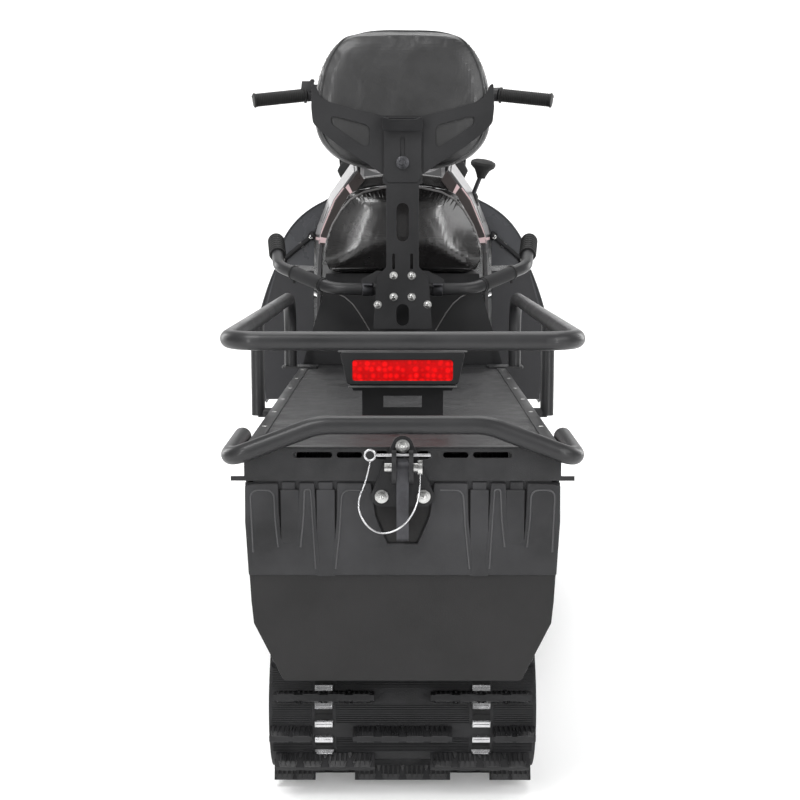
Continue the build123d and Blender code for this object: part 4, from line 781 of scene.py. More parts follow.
LOWER = mm([(209.5, 470), (211, 427), (208, 371), (205, 316), (202, 285), (163, 206), (156, 204)])
bm = bmesh.new()
flap_prism(bm, LOWER + [(-x, z) for x, z in reversed(LOWER)], 0.0, 0.0075)
form("flap_sheet", bm, flap_low, 0.0012)
SIDE = mm([
    (200, 478.5), (211, 476), (211.5, 427), (208.5, 371), (207.5, 353), (114.5, 353), (110.5, 372),
    (115, 420), (118, 479), (138.5, 479), (140, 440), (142.5, 404), (146.5, 398), (159, 398), (163, 404),
    (165.5, 440), (166.5, 479),
])
MIDDLE = mm([
    (87.5, 479), (88.5, 430), (93.5, 385), (93, 353), (-93, 353), (-93.5, 385), (-88.5, 430), (-87.5, 479),
    (-42, 479), (-36, 435), (-20, 397), (20, 397), (36, 435), (42, 479),
])
upper = bmesh.new()
for side in (-1, 1):
    flap_prism(upper, flip(side, SIDE), 0.004, 0.0125)
flap_prism(upper, MIDDLE, 0.004, 0.0125)
form("flap_upper", upper, flap_black, 0.0022, 3)
strips = bmesh.new()
for side in (-1, 1):
    for strip, proud in (
        ([(144, 480), (161.5, 480), (160, 424), (145.5, 424)], 0.0095),
        ([(93.5, 480), (112.5, 480), (109.5, 405), (96, 405)], 0.0100),
        ([(96.5, 403), (109, 403), (108.5, 361), (97.5, 361)], 0.0070),
    ):
        flap_prism(strips, flip(side, mm(strip)), 0.004, proud)
form("flap_strips", strips, flap_black, 0.0012)
beads = bmesh.new()


def bead(points, radius, proud):
    path = rounded([(x, FLAP_FRONT - proud, z) for x, z in points], 0.012)
    swept(beads, path, radius, 8)


for side in (-1, 1):
    for run in (
        [(201, 385), (204, 470), (172, 470), (171, 430), (167, 392)],
        [(137, 392), (133, 430), (131, 471), (123, 471), (119, 400), (117, 362)],
        [(90, 362), (84, 420), (81, 470), (50, 470)],
    ):
        bead([(side * x, z) for x, z in mm(run)], 0.0013, 0.0125)
bead(mm([(196, 345), (194.5, 285), (156, 212.5), (-156, 212.5), (-194.5, 285), (-196, 345)]), 0.0012, 0.0050)
# Beads in the lighter colour: painted highlight on the flap's edges
form("flap_beads", beads, flap_bead_highlight)

# Bright bolts on the hitch, and rivets along the deck's edges
bolts = bmesh.new()
HITCH_FACE = -1.5013
for x, z in mm([(0, 530), (28, 462), (-28, 462)]):
    bolt(bolts, (x, HITCH_FACE, z), (0, -1, 0), 0.0115, 0.008)
form("hitch_bolts", bolts, zinc, 0.0004)
RIVET = mm([(0, 5.2), (1.2, 4.8), (2.2, 3), (2.6, 0)])
rivets = bmesh.new()
for side in (-1, 1):
    for n in range(12):
        y = -1.306 + 0.155 * n
        if y < 0.03:
            turned(rivets, (side * 0.203, y, 0.526), (0, 0, 1), RIVET, 12)
            turned(rivets, (side * 0.2125, y, 0.508), (side, 0, 0), RIVET, 12)
form("deck_rivets", rivets, zinc)
EDGE_LOW, EDGE_HIGH = 0.5262, 0.5276
edges = bmesh.new()
for low, high in ((-0.2115, -0.194), (0.194, 0.2115)):
    box_at(edges, (low, -1.493, EDGE_LOW), (high, -0.495, EDGE_HIGH))
box_at(edges, (-0.2115, -1.4945, EDGE_LOW), (0.2115, -1.478, EDGE_HIGH))
form("deck_edges", edges, plate_black, 0.0005)

# Backrest hardware: slotted post, pressed wings, channel with its folded lip, gusset and bolts
POST_REAR = -0.547
post_rim = mirrored(mm([
    (0, 1027), (39, 1027), (39, 900), (32.5, 900), (32.5, 736), (52, 716), (59, 612), (0, 612),
]))
post = [cut_plate("post", [
    eased(post_rim, 0.004), slot_hole(0, 0.787, 0.863, 0.0125), slot_hole(-0.018, 0.731, 0.763, 0.0028),
    slot_hole(0.018, 0.731, 0.763, 0.0028), slot_hole(0, 0.618, 0.662, 0.0125),
], 0.005, upright(POST_REAR + 0.0025))]
for side in (-1, 1):
    post.append(cut_plate("post_side", [
        mm([(-542, 612), (-401.3, 612), (-401.3, 670), (-542, 716)]), disc(-0.497, 0.690, 0.0129),
    ], 0.005, sideways(side * 0.0495)))
made = plates("backrest_plate", post, plate_black)
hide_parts("backrest_post")
WING_RIM = mirrored(mm([(0, 1034), (40, 1034), (98, 1047), (146, 1061), (163, 1072), (172, 1094), (179, 1096),
                        (181, 1050), (178, 1020), (161, 1002), (124, 973), (79, 946), (38, 918), (0, 918)]))
WING_HOLE = mm([
    (142, 1031), (132, 1032), (74, 1017), (65, 1009), (65, 981), (70, 973), (80, 976), (140, 1017),
])
wings = cut_plate("wing_plate", [eased(WING_RIM, 0.006)] + [
    eased(flip(side, WING_HOLE), 0.004) for side in (-1, 1)
], 0.003, upright(-0.5402), 0.0006)
made = piece("wing_plate", wings, plate_black, "root")
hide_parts("backrest_wings")
channel_rim = mirrored(mm([(0, 1004), (37.5, 1004), (37, 914), (30, 903), (0, 903)]))
channel = [cut_plate("channel", [eased(channel_rim, 0.004), slot_hole(0, 0.950, 0.992, 0.0045)], 0.003,
                     upright(POST_REAR - 0.0015), 0.0008)]
lip_rim = mirrored(mm([(0, 24), (26, 24), (38, 29), (41, 8), (36, 0), (0, 0)]))
channel.append(cut_plate("lip", [eased(lip_rim, 0.004)], 0.003, upright(-0.5655, 24, 1.003), 0.0008))
channel.append(cut_plate("lip_top", [eased(mirrored(mm([(0, 18), (37, 18), (39, 0), (0, 0)])), 0.002)], 0.003,
                         Matrix.Translation((0, -0.5565, 1.0285)), 0.0008))
plates("backrest_channel", channel, plate_black)
gusset_rim = mirrored(mm([(0, 728), (52, 728), (83, 711), (83, 703), (0, 703)]))
gusset = cut_plate("gusset", [eased(gusset_rim, 0.003)], 0.003, upright(-0.5405), 0.0006)
piece("backrest_gusset", gusset, plate_black, "root")
clamps = bmesh.new()
for side in (-1, 1):
    turned(clamps, (side * 0.060, -0.497, 0.690), (side, 0, 0), collar(0.022, 0.0126, 0.0146),
           28)
    slab(clamps, Matrix.Identity(4), (side * 0.071 - 0.010, -0.542, 0.6995),
         (side * 0.071 + 0.010, -0.500, 0.7050), 0.001)
form("rail_clamps", clamps, steel_dark, 0.0006)
holder = bmesh.new()
for x, z in mm([(18, 719), (18, 676.5), (50, 661)]):
    for side in (-1, 1):
        turned(holder, (side * x, POST_REAR, z), (0, -1, 0),
               mm([(0, 8.2), (1.2, 8), (1.4, 6), (4.2, 5.6), (6, 3.6), (6.2, 2.6), (4.6, 2.2), (4.6, 0)]), 20)
form("backrest_bolts", holder, zinc)
knob = bmesh.new()
KNOB = (0, POST_REAR - 0.003, 0.942)
turned(knob, KNOB, (0, -1, 0),
       mm([(0, 13), (3, 13), (3.5, 9.5), (7, 9), (8, 6.5), (15, 6.2), (16.2, 5), (16.5, 0)]), 20)
prism(knob, hexagon(0.0105), frame_at(KNOB, (0, -1, 0)), 0.003, 0.0105)
form("backrest_knob", knob, steel_dark, 0.0004)

# Sleeves and ties on the grab rail, and ribs round its grips
RAIL_RUN = mm([(143, -497, 690), (262, -387, 732)])
GRIP_RUN = mm([(262, -387, 732), (280, -247, 783)])
sleeves, ties, ridges = (bmesh.new() for _ in range(3))
for side in (-1, 1):
    a, b = (Vector((side * p[0], p[1], p[2])) for p in RAIL_RUN)
    low, high = a.lerp(b, 0.16), a.lerp(b, 0.74)
    turned(sleeves, low, high - low, collar((high - low).length, 0.0128, 0.0142), 24)
    for share in (0.06, 0.94):
        at = low.lerp(high, share)
        turned(ties, at, high - low, collar(0.004, 0.0144, 0.0152, 0.0004), 24)
        slab(ties, frame_at(at, (0, 0, -1)), (-0.003, -0.003, 0.014), (0.003, 0.003, 0.0215))
    a, b = (Vector((side * p[0], p[1], p[2])) for p in GRIP_RUN)
    first = a.lerp(b, 0.45)
    along = (b - a).normalized()
    length = (b - first).length + 0.004
    for n in range(7):
        turned(ridges, first + along * (0.006 + n * (length - 0.014) / 6), along,
               collar(0.0053, 0.017, 0.0186, 0.0015), 24)
form("rail_sleeves", sleeves, rubber_black)
form("rail_ties", ties, grip_black)
form("grip_ridges", ridges, grip_black)

# Handlebar details, on the steering body
RAKE = math.radians(24)
AXIS = Vector((0, -math.sin(RAKE), math.cos(RAKE)))


def span_of(name, side):
    """Two ends of the straight tube-like solid of a node on one side, by the means of its end slices."""
    verts = [v.co for v in NODES[name].data.vertices if v.co.x * side > 0]
    xs = sorted(abs(v.x) for v in verts)
    near, far = xs[0], xs[-1]
    first = [v for v in verts if abs(v.x) < near + 0.014]
    last = [v for v in verts if abs(v.x) > far - 0.014]
    middle = lambda vs: Vector(tuple((min(v[k] for v in vs) + max(v[k] for v in vs)) / 2 for k in range(3)))
    return middle(first), middle(last)


grips, perches, levers = (bmesh.new() for _ in range(3))
for side in (-1, 1):
    inner, outer = span_of("bar_grips", side)
    along = (outer - inner).normalized()
    length = (outer - inner).length
    for n in range(26):
        turned(grips, inner + along * (0.004 + n * (length - 0.012) / 25), along,
               collar(0.0028, 0.016, 0.0174, 0.0008), 20)
    turned(grips, outer - along * 0.004, along, mm([(0, 16.5), (1, 18.8), (4.5, 18.8), (6, 16.5)]), 24)
    turned(grips, inner - along * 0.006, along, collar(0.006, 0.017, 0.0205), 24)
    hub = inner - along * 0.026
    turned(perches, hub, along, collar(0.018, 0.015, 0.0175), 24)
    up = (AXIS - along * AXIS.dot(along)).normalized()
    ahead = along.cross(up)
    if ahead.y < 0:
        ahead = -ahead
    block = frame_at(hub + along * 0.009 + ahead * 0.012 + up * 0.004, ahead)
    slab(perches, block, (-0.013, -0.010, -0.010), (0.013, 0.010, 0.011), 0.002)
    root = hub + along * 0.012 + ahead * 0.022
    swept(levers, rounded([root, root + along * 0.03 + ahead * 0.012, root + along * 0.09 + ahead * 0.014,
                           root + along * 0.135 + ahead * 0.006], 0.02), lambda t: 0.0056 - 0.0018 * t, 10)
    turned(levers, root + along * 0.133 + ahead * 0.007, along, mm([(0, 4), (3, 6.8), (9, 6.8), (12, 3)]), 14)
left_in, left_out = span_of("bar_grips", -1)
along = (left_out - left_in).normalized()
block = frame_at(left_in - along * 0.012 + Vector((0, 0, 0.012)), (0, 0, 1))
slab(perches, block, (-0.018, -0.016, -0.004), (0.018, 0.016, 0.022), 0.003)
slab(perches, block, (-0.042, -0.006, 0.004), (-0.010, 0.006, 0.014), 0.002)
turned(perches, left_in - along * 0.024 + Vector((0, -0.004, 0.030)), (0, -0.2, 1),
       mm([(0, 6), (6, 6), (8, 4), (9, 0)]), 16)
form("bar_grip_ribs", grips, grip_black, body="steering")
form("lever_perches", perches, plate_black, 0.0008, body="steering")
form("bar_levers", levers, plate_black, body="steering")
pad = bmesh.new()
head = Vector((0, 0.330, 1.062)) + AXIS * 0.050
slab(pad, Matrix.Translation(head) @ AXIS.to_track_quat("Z", "Y").to_matrix().to_4x4(),
     (-0.070, -0.024, -0.022), (0.070, 0.024, 0.020), 0.008)
form("bar_pad", pad, rubber_black, 0.006, 4, body="steering")

# Gear lever with its mushroom knob, right of the console
lever = bmesh.new()
swept(lever, rounded(mm([(165, 190, 850), (180, 165, 905), (196, 140, 945)]), 0.03), 0.0055, 12)
form("gear_lever", lever, steel_dark)
boot = bmesh.new()
turned(boot, (0.172, 0.180, 0.872), (0.25, -0.35, 1),
       mm([(0, 20), (6, 17), (10, 19), (16, 13), (20, 14), (28, 8), (29, 0)]), 20)
turned(boot, (0.194, 0.142, 0.934), (0.15, -0.2, 1),
       mm([(0, 10.5), (6, 12), (20, 19), (28, 29), (34, 31.5), (40, 30), (44, 22), (46, 10), (46.5, 0)]), 28)
form("gear_knob", boot, grip_black)

# Cowl: smooth skins over the hood and the side panels, and closed rear edges
COWL = (  # y, crown z, then x and z of shoulder, waist, hip and sill
    (0.420, 0.950, 0.205, 0.883, 0.345, 0.700, 0.400, 0.500, 0.375, 0.335),
    (0.700, 0.925, 0.200, 0.850, 0.350, 0.680, 0.412, 0.480, 0.372, 0.350),
    (1.000, 0.800, 0.180, 0.745, 0.300, 0.610, 0.350, 0.490, 0.320, 0.410),
    (1.220, 0.670, 0.130, 0.635, 0.205, 0.550, 0.235, 0.490, 0.210, 0.440),
    (1.320, 0.575, 0.075, 0.560, 0.115, 0.515, 0.125, 0.480, 0.110, 0.450),
)
SKIN_PROUD = 0.0015


def smooth_row(rows, y):
    """Row of a table at y, by cubic steps that run on through its rows."""
    k = 0
    while k < len(rows) - 2 and y > rows[k + 1][0]:
        k += 1
    a, b = rows[k], rows[k + 1]
    span = b[0] - a[0]
    t = (y - a[0]) / span

    def slope(n, c):
        low, high = rows[max(n - 1, 0)], rows[min(n + 1, len(rows) - 1)]
        return (high[c] - low[c]) / (high[0] - low[0]) * span

    return [a[c] * (2 * t ** 3 - 3 * t ** 2 + 1) + slope(k, c) * (t ** 3 - 2 * t ** 2 + t)
            + b[c] * (3 * t ** 2 - 2 * t ** 3) + slope(k + 1, c) * (t ** 3 - t ** 2)
            for c in range(1, len(a))]


def hood_point(y, share, lift=0.0):
    """Point of the hood's skin: share runs from 0 at the crown to 1 at the waist, negative to the left."""
    crown, sx, sz, wx, wz = smooth_row(COWL, y)[:5]
    side = -1 if share < 0 else 1
    share = abs(share)
    bulge = 0.030 * max(0.0, 1.30 - y) / 0.88
    if share < 0.45:
        drop = crown - sz
        radius = (sx * sx + drop * drop) / (2 * drop)
        x = sx * share / 0.45
        at = Vector((x, crown - radius + math.sqrt(radius * radius - x * x)))
        out = Vector((x, at.y - (crown - radius))).normalized()
    else:
        t = (share - 0.45) / 0.55
        first, last = Vector((sx, sz)), Vector((wx, wz + 0.006))
        out = Vector((first.y - last.y, last.x - first.x)).normalized()
        middle = (first + last) / 2 + out * 2 * bulge
        at = first * (1 - t) ** 2 + middle * 2 * t * (1 - t) + last * t * t
    at += out * (SKIN_PROUD + lift)
    return Vector((side * at.x, y, at.y))


def panel_point(y, share, lift=0.0):
    """Point of the side skin: share runs from 0 at the waist to 1 at the sill, negative on the left."""
    wx, wz, hx, hz, lx, lz = smooth_row(COWL, y)[3:]
    side = -1 if share < 0 else 1
    t = abs(share)
    hip = Vector((hx, hz)) * 2 - (Vector((wx, wz)) + Vector((lx, lz))) / 2
    at = Vector((wx, wz)) * (1 - t) ** 2 + hip * 2 * t * (1 - t) + Vector((lx, lz)) * t * t
    return Vector((side * (at.x + SKIN_PROUD + lift), y, at.y))


def skin(bm, point, ys, shares, lift, thick):
    """Closed patch of a skin over a grid of y and share, from lift down to lift less thick."""
    over = [[bm.verts.new(point(y, share, lift)) for share in shares] for y in ys]
    under = [[bm.verts.new(point(y, share, lift - thick)) for share in shares] for y in ys]
    rows, columns = len(ys), len(shares)
    for i in range(rows - 1):
        for k in range(columns - 1):
            bm.faces.new((over[i][k], over[i][k + 1], over[i + 1][k + 1], over[i + 1][k]))
            bm.faces.new((under[i][k], under[i + 1][k], under[i + 1][k + 1], under[i][k + 1]))
    rim = [(i, 0) for i in range(rows)] + [(rows - 1, k) for k in range(1, columns)]
    rim += [(i, columns - 1) for i in range(rows - 2, -1, -1)] + [(0, k) for k in range(columns - 2, 0, -1)]
    for (i, k), (m, n) in zip(rim, rim[1:] + rim[:1]):
        bm.faces.new((over[i][k], over[m][n], under[m][n], under[i][k]))


hood = bmesh.new()
skin(hood, hood_point, spread(0.417, 1.319, 44), spread(-1.0, 1.0, 49), 0.0, 0.003)
form("hood_skin", hood, cowl_grey, body="hood_lid")
sides = bmesh.new()
for side in (-1, 1):
    skin(sides, panel_point, spread(0.417, 1.319, 44), spread(0.004, 0.985, 20, side), 0.0, 0.003)
form("side_skins", sides, cowl_grey)
# Vents: thin near-black patches on the skins, painted shade in the openings under the fins
for name, point, body, first, step, low, high, count in (
    ("hood", hood_point, "hood_lid", 0.560, 0.055, 0.60, 0.80, 5),
    ("side", panel_point, "root", 0.900, 0.045, 0.20, 0.52, 4),
):
    vents, fins = (bmesh.new() for _ in range(2))
    for side in (-1, 1):
        for n in range(count):
            y = first + step * n
            skin(vents, point, spread(y, y + step * 0.5, 4), spread(low, high, 8, side), 0.0008, 0.0020)
            skin(fins, point, spread(y + step * 0.34, y + step * 0.60, 4),
                 spread(low - 0.01, high + 0.01, 8, side), 0.0045, 0.0055)
    form(name + "_vents", vents, painted_slot_shade, body=body, smooth=False)
    form(name + "_fins", fins, base_black, body=body)

# Headlight band, its two lenses and the trims of the hood
band = bmesh.new()
skin(band, hood_point, spread(1.085, 1.262, 14), spread(-0.62, 0.62, 37), 0.0022, 0.0030)
form("lamp_band", band, base_black, body="hood_lid")
lenses, rims = (bmesh.new() for _ in range(2))
for side in (-1, 1):
    skin(lenses, hood_point, spread(1.115, 1.228, 10), spread(0.10, 0.48, 14, side), 0.0058, 0.0050)
    skin(rims, hood_point, spread(1.106, 1.237, 10), spread(0.085, 0.495, 14, side), 0.0040, 0.0040)
form("lamp_lenses", lenses, lens_clear, 0.0012, body="hood_lid")
form("lamp_rims", rims, alloy, body="hood_lid")
trims = bmesh.new()
for side in (-1, 1):
    skin(trims, hood_point, spread(0.430, 1.300, 40), spread(0.965, 0.995, 3, side), 0.0030, 0.0040)
    skin(trims, hood_point, spread(0.430, 1.060, 30), spread(0.425, 0.445, 3, side), 0.0018, 0.0030)
form("hood_trims", trims, base_black, body="hood_lid")

# Rear edges of the cowl, closed in to the tank covers
def closing(point, shares, inner):
    """Plate across the rear of a skin, from its edge in to a line of points."""
    edge = [point(0.420, share, -0.0030) for share in shares]
    return [(p.x, p.z) for p in edge] + flip(side, inner)


CLOSING_Y = 0.4225
top_plates = []
low_plates = []
for side in (-1, 1):
    top_rim = closing(hood_point, spread(0.47, 0.985, 14, side), mm([(240, 708), (238, 800), (205, 870)]))
    low_rim = closing(panel_point, spread(0.01, 0.97, 18, side), mm([(246, 345), (242, 540), (240, 695)]))
    top_plates.append(cut_plate("top_plate", [top_rim], 0.003, upright(CLOSING_Y), 0.0008))
    low_plates.append(cut_plate("low_plate", [low_rim], 0.003, upright(CLOSING_Y), 0.0008))
plates("hood_rear", top_plates, cowl_grey, body="hood_lid")
plates("side_rear", low_plates, cowl_dark)

# Rubber latches between the hood and the side panels
straps, hooks = (bmesh.new() for _ in range(2))
for side in (-1, 1):
    top = Vector((side * 0.246, 0.412, 0.786))
    low = Vector((side * 0.322, 0.412, 0.724))
    along = (low - top).normalized()
    swept(straps, [top - along * 0.006, top.lerp(low, 0.5) + Vector((0, -0.004, 0)), low], 0.0062, 10)
    turned(straps, top - along * 0.012, along, mm([(0, 6), (2, 11.5), (15, 11.5), (18, 6)]), 16)
    turned(straps, low - along * 0.006, along, mm([(0, 6), (2, 10.5), (11, 10.5), (13, 6)]), 16)
    middle = top.lerp(low, 0.30)
    turned(hooks, middle, along, collar(0.010, 0.0068, 0.0082), 16)
    for end in (top, low):
        turned(hooks, end + Vector((0, 0.0085, 0)), (0, -1, 0),
               mm([(0, 4.5), (14, 4.5), (16, 6.2), (19, 5.5), (20, 0)]), 14)
form("latch_straps", straps, rubber_black, body="hood_lid")
form("latch_hooks", hooks, zinc, body="hood_lid")

# Tank covers: pale upper skin, pink lines, brown rear edge, and the band over the seat's nose
COVER = (  # y, then x and z of the four corners of the CAD cover's outside
    (0.038, 0.110, 0.950, 0.164, 0.878, 0.200, 0.794, 0.212, 0.5263),
    (0.220, 0.120, 0.985, 0.176, 0.905, 0.210, 0.800, 0.212, 0.5263),
    (0.400, 0.130, 0.985, 0.192, 0.900, 0.232, 0.800, 0.222, 0.5263),
)


def cover_point(y, share, lift=0.0):
    """Point of the cover's skin: share runs from 0 at its top edge to 1 at its foot, negative on the left."""
    row = interpolate(COVER, y)
    corners = [Vector(row[k:k + 2]) for k in (0, 2, 4, 6)]
    side = -1 if share < 0 else 1
    t = abs(share) * 3
    k = min(int(t), 2)
    a, b = corners[k], corners[k + 1]
    at = a.lerp(b, t - k)
    out = Vector((a.y - b.y, b.x - a.x)).normalized()
    at += out * (0.0008 + lift)
    return Vector((side * at.x, y, at.y))


pale, lines, dark = (bmesh.new() for _ in range(3))
for side in (-1, 1):
    skin(pale, cover_point, spread(0.046, 0.396, 14), spread(0.03, 0.333, 6,
                                                             side) + spread(0.333, 0.675, 7, side)[1:],
         0.0016, 0.0020)
    skin(lines, cover_point, spread(0.046, 0.396, 14), spread(0.684, 0.693, 2, side), 0.0014, 0.0018)
    skin(lines, cover_point, spread(0.036, 0.0405, 2), spread(0.20, 0.333, 4,
                                                              side) + spread(0.333, 0.68, 6, side)[1:],
         0.0006, 0.0030)
    skin(dark, cover_point, spread(0.060, 0.385, 12), spread(0.72, 0.95, 8, side), 0.0020, 0.0030)
    skin(dark, cover_point, spread(0.130, 0.330, 8), spread(0.44, 0.58, 4, side), 0.0034, 0.0040)
form("cover_skins", pale, cover_pale)
form("cover_lines", lines, cover_line)
form("cover_panels", dark, cover_dark, 0.0006)
# Brown edge of the covers and the two pink ends on it, seen from the rear
COVER_EDGE = mm([
    (106, 948), (134.5, 912), (162, 876), (198, 794), (200, 770), (172, 770), (150, 840), (118, 893),
    (92, 925),
])
COVER_TIPS = (
    mm([(199, 789.5), (199.8, 776), (176, 774), (173, 785)]),
    mm([(137.5, 908), (130.5, 916), (118.5, 892), (122.5, 887)]),
)
edges = []
tips = []
for side in (-1, 1):
    edges.append(cut_plate("cover_edge", [flip(side, COVER_EDGE)], 0.004, upright(0.0352), 0.0010))
    for tip in COVER_TIPS:
        tips.append(cut_plate("cover_tip", [flip(side, tip)], 0.0012, upright(0.0328), 0.0004))
plates("cover_edges", edges, cover_brown)
plates("cover_tips", tips, cover_line)
ARCH = mm([
    (0, 944), (45, 942), (95, 936), (122, 922), (132, 905), (128, 885), (116, 893), (92, 908), (45, 916),
    (0, 917),
])
arch = cut_plate("tank_arch", [eased(mirrored(ARCH), 0.006)], 0.026, upright(0.1005), 0.0060)
piece("tank_band", arch, seat_leather, "root")
TOP = mm([(114.5, 915), (150, 942), (200, 977.5), (260, 984), (328, 986.5)])
tops = bmesh.new()
rows = []
for y, z in TOP:
    rows.append([tops.verts.new((x, y, z + 0.0045 - 0.006 * (abs(x) / 0.106) ** 4))
                 for x in spread(-0.106, 0.106, 15)])
for low, high in zip(rows, rows[1:]):
    for k in range(14):
        tops.faces.new((low[k], low[k + 1], high[k + 1], high[k]))
bmesh.ops.solidify(tops, geom=tops.faces[:], thickness=0.004)
form("tank_top", tops, cover_pale)

# Filler cap and fuel gauge, each with its place and its axis
CAP, CAP_UP = (0, 0.158, 0.944), (0, -0.58, 0.81)
GAUGE, GAUGE_UP = (0, 0.262, 0.984), (0, -0.42, 0.91)
fittings = bmesh.new()
turned(fittings, CAP, CAP_UP, mm([(0, 34), (6, 34), (8, 30), (14, 30), (24, 28), (26, 24),
                                                          (26.5, 0)]), 32)
for k in range(16):
    place = frame_at(CAP, CAP_UP) @ Matrix.Rotation(2 * math.pi * k / 16, 4, "Z")
    slab(fittings, place, (0.0285, -0.0022, 0.010), (0.0325, 0.0022, 0.022), 0.0006)
turned(fittings, GAUGE, GAUGE_UP, mm([(0, 50), (16, 50), (20, 47), (20.5, 43), (17, 42)]), 40)
form("tank_fittings", fittings, base_black, 0.0004)
dial = bmesh.new()
DIAL = frame_at(GAUGE, GAUGE_UP)
turned(dial, GAUGE, GAUGE_UP, mm([(14, 42.5), (17.4, 42.5), (17.6, 0)]), 40)
form("dial_face", dial, cover_dark)
ticks = bmesh.new()
for k in range(19):
    place = DIAL @ Matrix.Rotation(math.radians(-45 + 15 * k), 4, "Z")
    reach = 0.031 if k % 3 == 0 else 0.034
    slab(ticks, place, (reach, -0.0007, 0.0174), (0.0395, 0.0007, 0.0181))
slab(ticks, DIAL @ Matrix.Rotation(math.radians(200), 4, "Z"), (-0.006, -0.0009, 0.0178),
     (0.030, 0.0009, 0.0190))
turned(ticks, DIAL @ Vector((0, 0, 0.017)), GAUGE_UP, mm([(0, 5), (3, 5), (3.4, 0)]), 16)
form("dial_ticks", ticks, cover_pale)
pods = bmesh.new()
for side in (-1, 1):
    prism(pods, flip(side, mm([(108, 972), (118, 992), (162, 990), (176, 962), (158, 925), (112, 925)])),
          upright(0.440), -0.018, 0.018)
form("dash_pods", pods, base_black, 0.005, 3, body="hood_lid")

# Frame, top edge and shelf round the tail lamp
lamp_low, lamp_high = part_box("tail_lamp")
rim = [(lamp_low.x - 0.006, lamp_low.z - 0.004), (lamp_high.x + 0.006, lamp_low.z - 0.004),
       (lamp_high.x + 0.017, lamp_high.z + 0.010), (lamp_low.x - 0.017, lamp_high.z + 0.010)]
hole = [(lamp_low.x + 0.002, lamp_low.z + 0.002), (lamp_high.x - 0.002, lamp_low.z + 0.002),
        (lamp_high.x - 0.002, lamp_high.z - 0.002), (lamp_low.x + 0.002, lamp_high.z - 0.002)]
frame_plate = cut_plate("lamp_frame", [eased(rim, 0.006), eased(hole, 0.005)], 0.022,
                        upright(lamp_low.y + 0.0085), 0.0012)
piece("lamp_frame", frame_plate, plate_black, "root")
strip = bmesh.new()
box_at(strip, (lamp_low.x - 0.020, lamp_low.y + 0.002, lamp_high.z + 0.0095),
       (lamp_high.x + 0.020, lamp_high.y, lamp_high.z + 0.0120))
box_at(strip, (lamp_low.x - 0.004, lamp_low.y - 0.001, lamp_low.z - 0.009),
       (lamp_high.x + 0.004, lamp_high.y, lamp_low.z - 0.0055))
form("lamp_shelf", strip, alloy_dark, 0.0008)

# Piping of the cushions and seams of the seat's base, laid on their surfaces
def tree_of(made):
    return BVHTree.FromObject(made, bpy.context.evaluated_depsgraph_get())


def cast(tree, spots, away, proud):
    """Points where rays from the spots, against away, meet a surface, moved proud of it."""
    hits = [tree.ray_cast(spot, -away)[0] for spot in spots]
    return [hit + away * proud for hit in hits if hit is not None]


def laid(made, spots, away, radius):
    """Points of spots, moved along -away onto a piece and sunk by about two thirds of the radius."""
    return cast(tree_of(made), [spot + away * 0.3 for spot in spots], away, radius * 0.35)


def looped(bm, path, radius, sides=8):
    """Closed tube along a closed path."""
    rings = []
    count = len(path)
    for k, at in enumerate(path):
        ahead = (path[(k + 1) % count] - path[k - 1]).normalized()
        side = ahead.cross(Vector((0, 1, 0))).normalized()
        other = ahead.cross(side)
        rings.append([bm.verts.new(at + turn_of(side, other, n, sides) * radius) for n in range(sides)])
    for k in range(count):
        walled(bm, rings[k - 1], rings[k])


REARWARD = Vector((0, -1, 0))
pipe = bmesh.new()
PIPING = 0.0022
PANEL = (0.900, 0.965)
spots = [Vector((p.x * PANEL[0], -0.55, back_middle.y + 0.002 + (p.y - back_middle.y) * PANEL[1]))
         for p in back_loop]
looped(pipe, laid(backrest, spots, REARWARD, PIPING), PIPING)
front = [Vector((p.x * 0.93, -0.40, back_middle.y + (p.y - back_middle.y) * 0.93)) for p in back_loop]
looped(pipe, laid(backrest, front, -REARWARD, PIPING), PIPING)
form("backrest_piping", pipe, back_leather)
pipe = bmesh.new()
SEAM = mm([(-166, 745), (-160, 785), (-146, 820), (-128, 850), (-108, 872), (-80, 887), (-40, 896), (0, 899)])
SEAM += [(-x, z) for x, z in reversed(SEAM[:-1])]
spots = []
for (xa, za), (xb, zb) in zip(SEAM, SEAM[1:]):
    for n in range(6):
        t = n / 6
        spots.append(Vector((xa + (xb - xa) * t, -0.43, za + (zb - za) * t)))
swept(pipe, laid(seat, spots, REARWARD, PIPING), PIPING, 8)
form("seat_piping", pipe, piping_grey)
pipe = bmesh.new()
BASE_SEAM = mm([(140, 677), (122, 668), (106, 654), (92, 635), (79, 614), (70, 598)])
base_tree = tree_of(NODES["seat_base"])
for side in (-1, 1):
    spots = [Vector((side * x, -0.90, z)) for x, z in BASE_SEAM]
    swept(pipe, cast(base_tree, spots, REARWARD, 0.0004), 0.0013, 8)
form("base_seams", pipe, piping_grey)

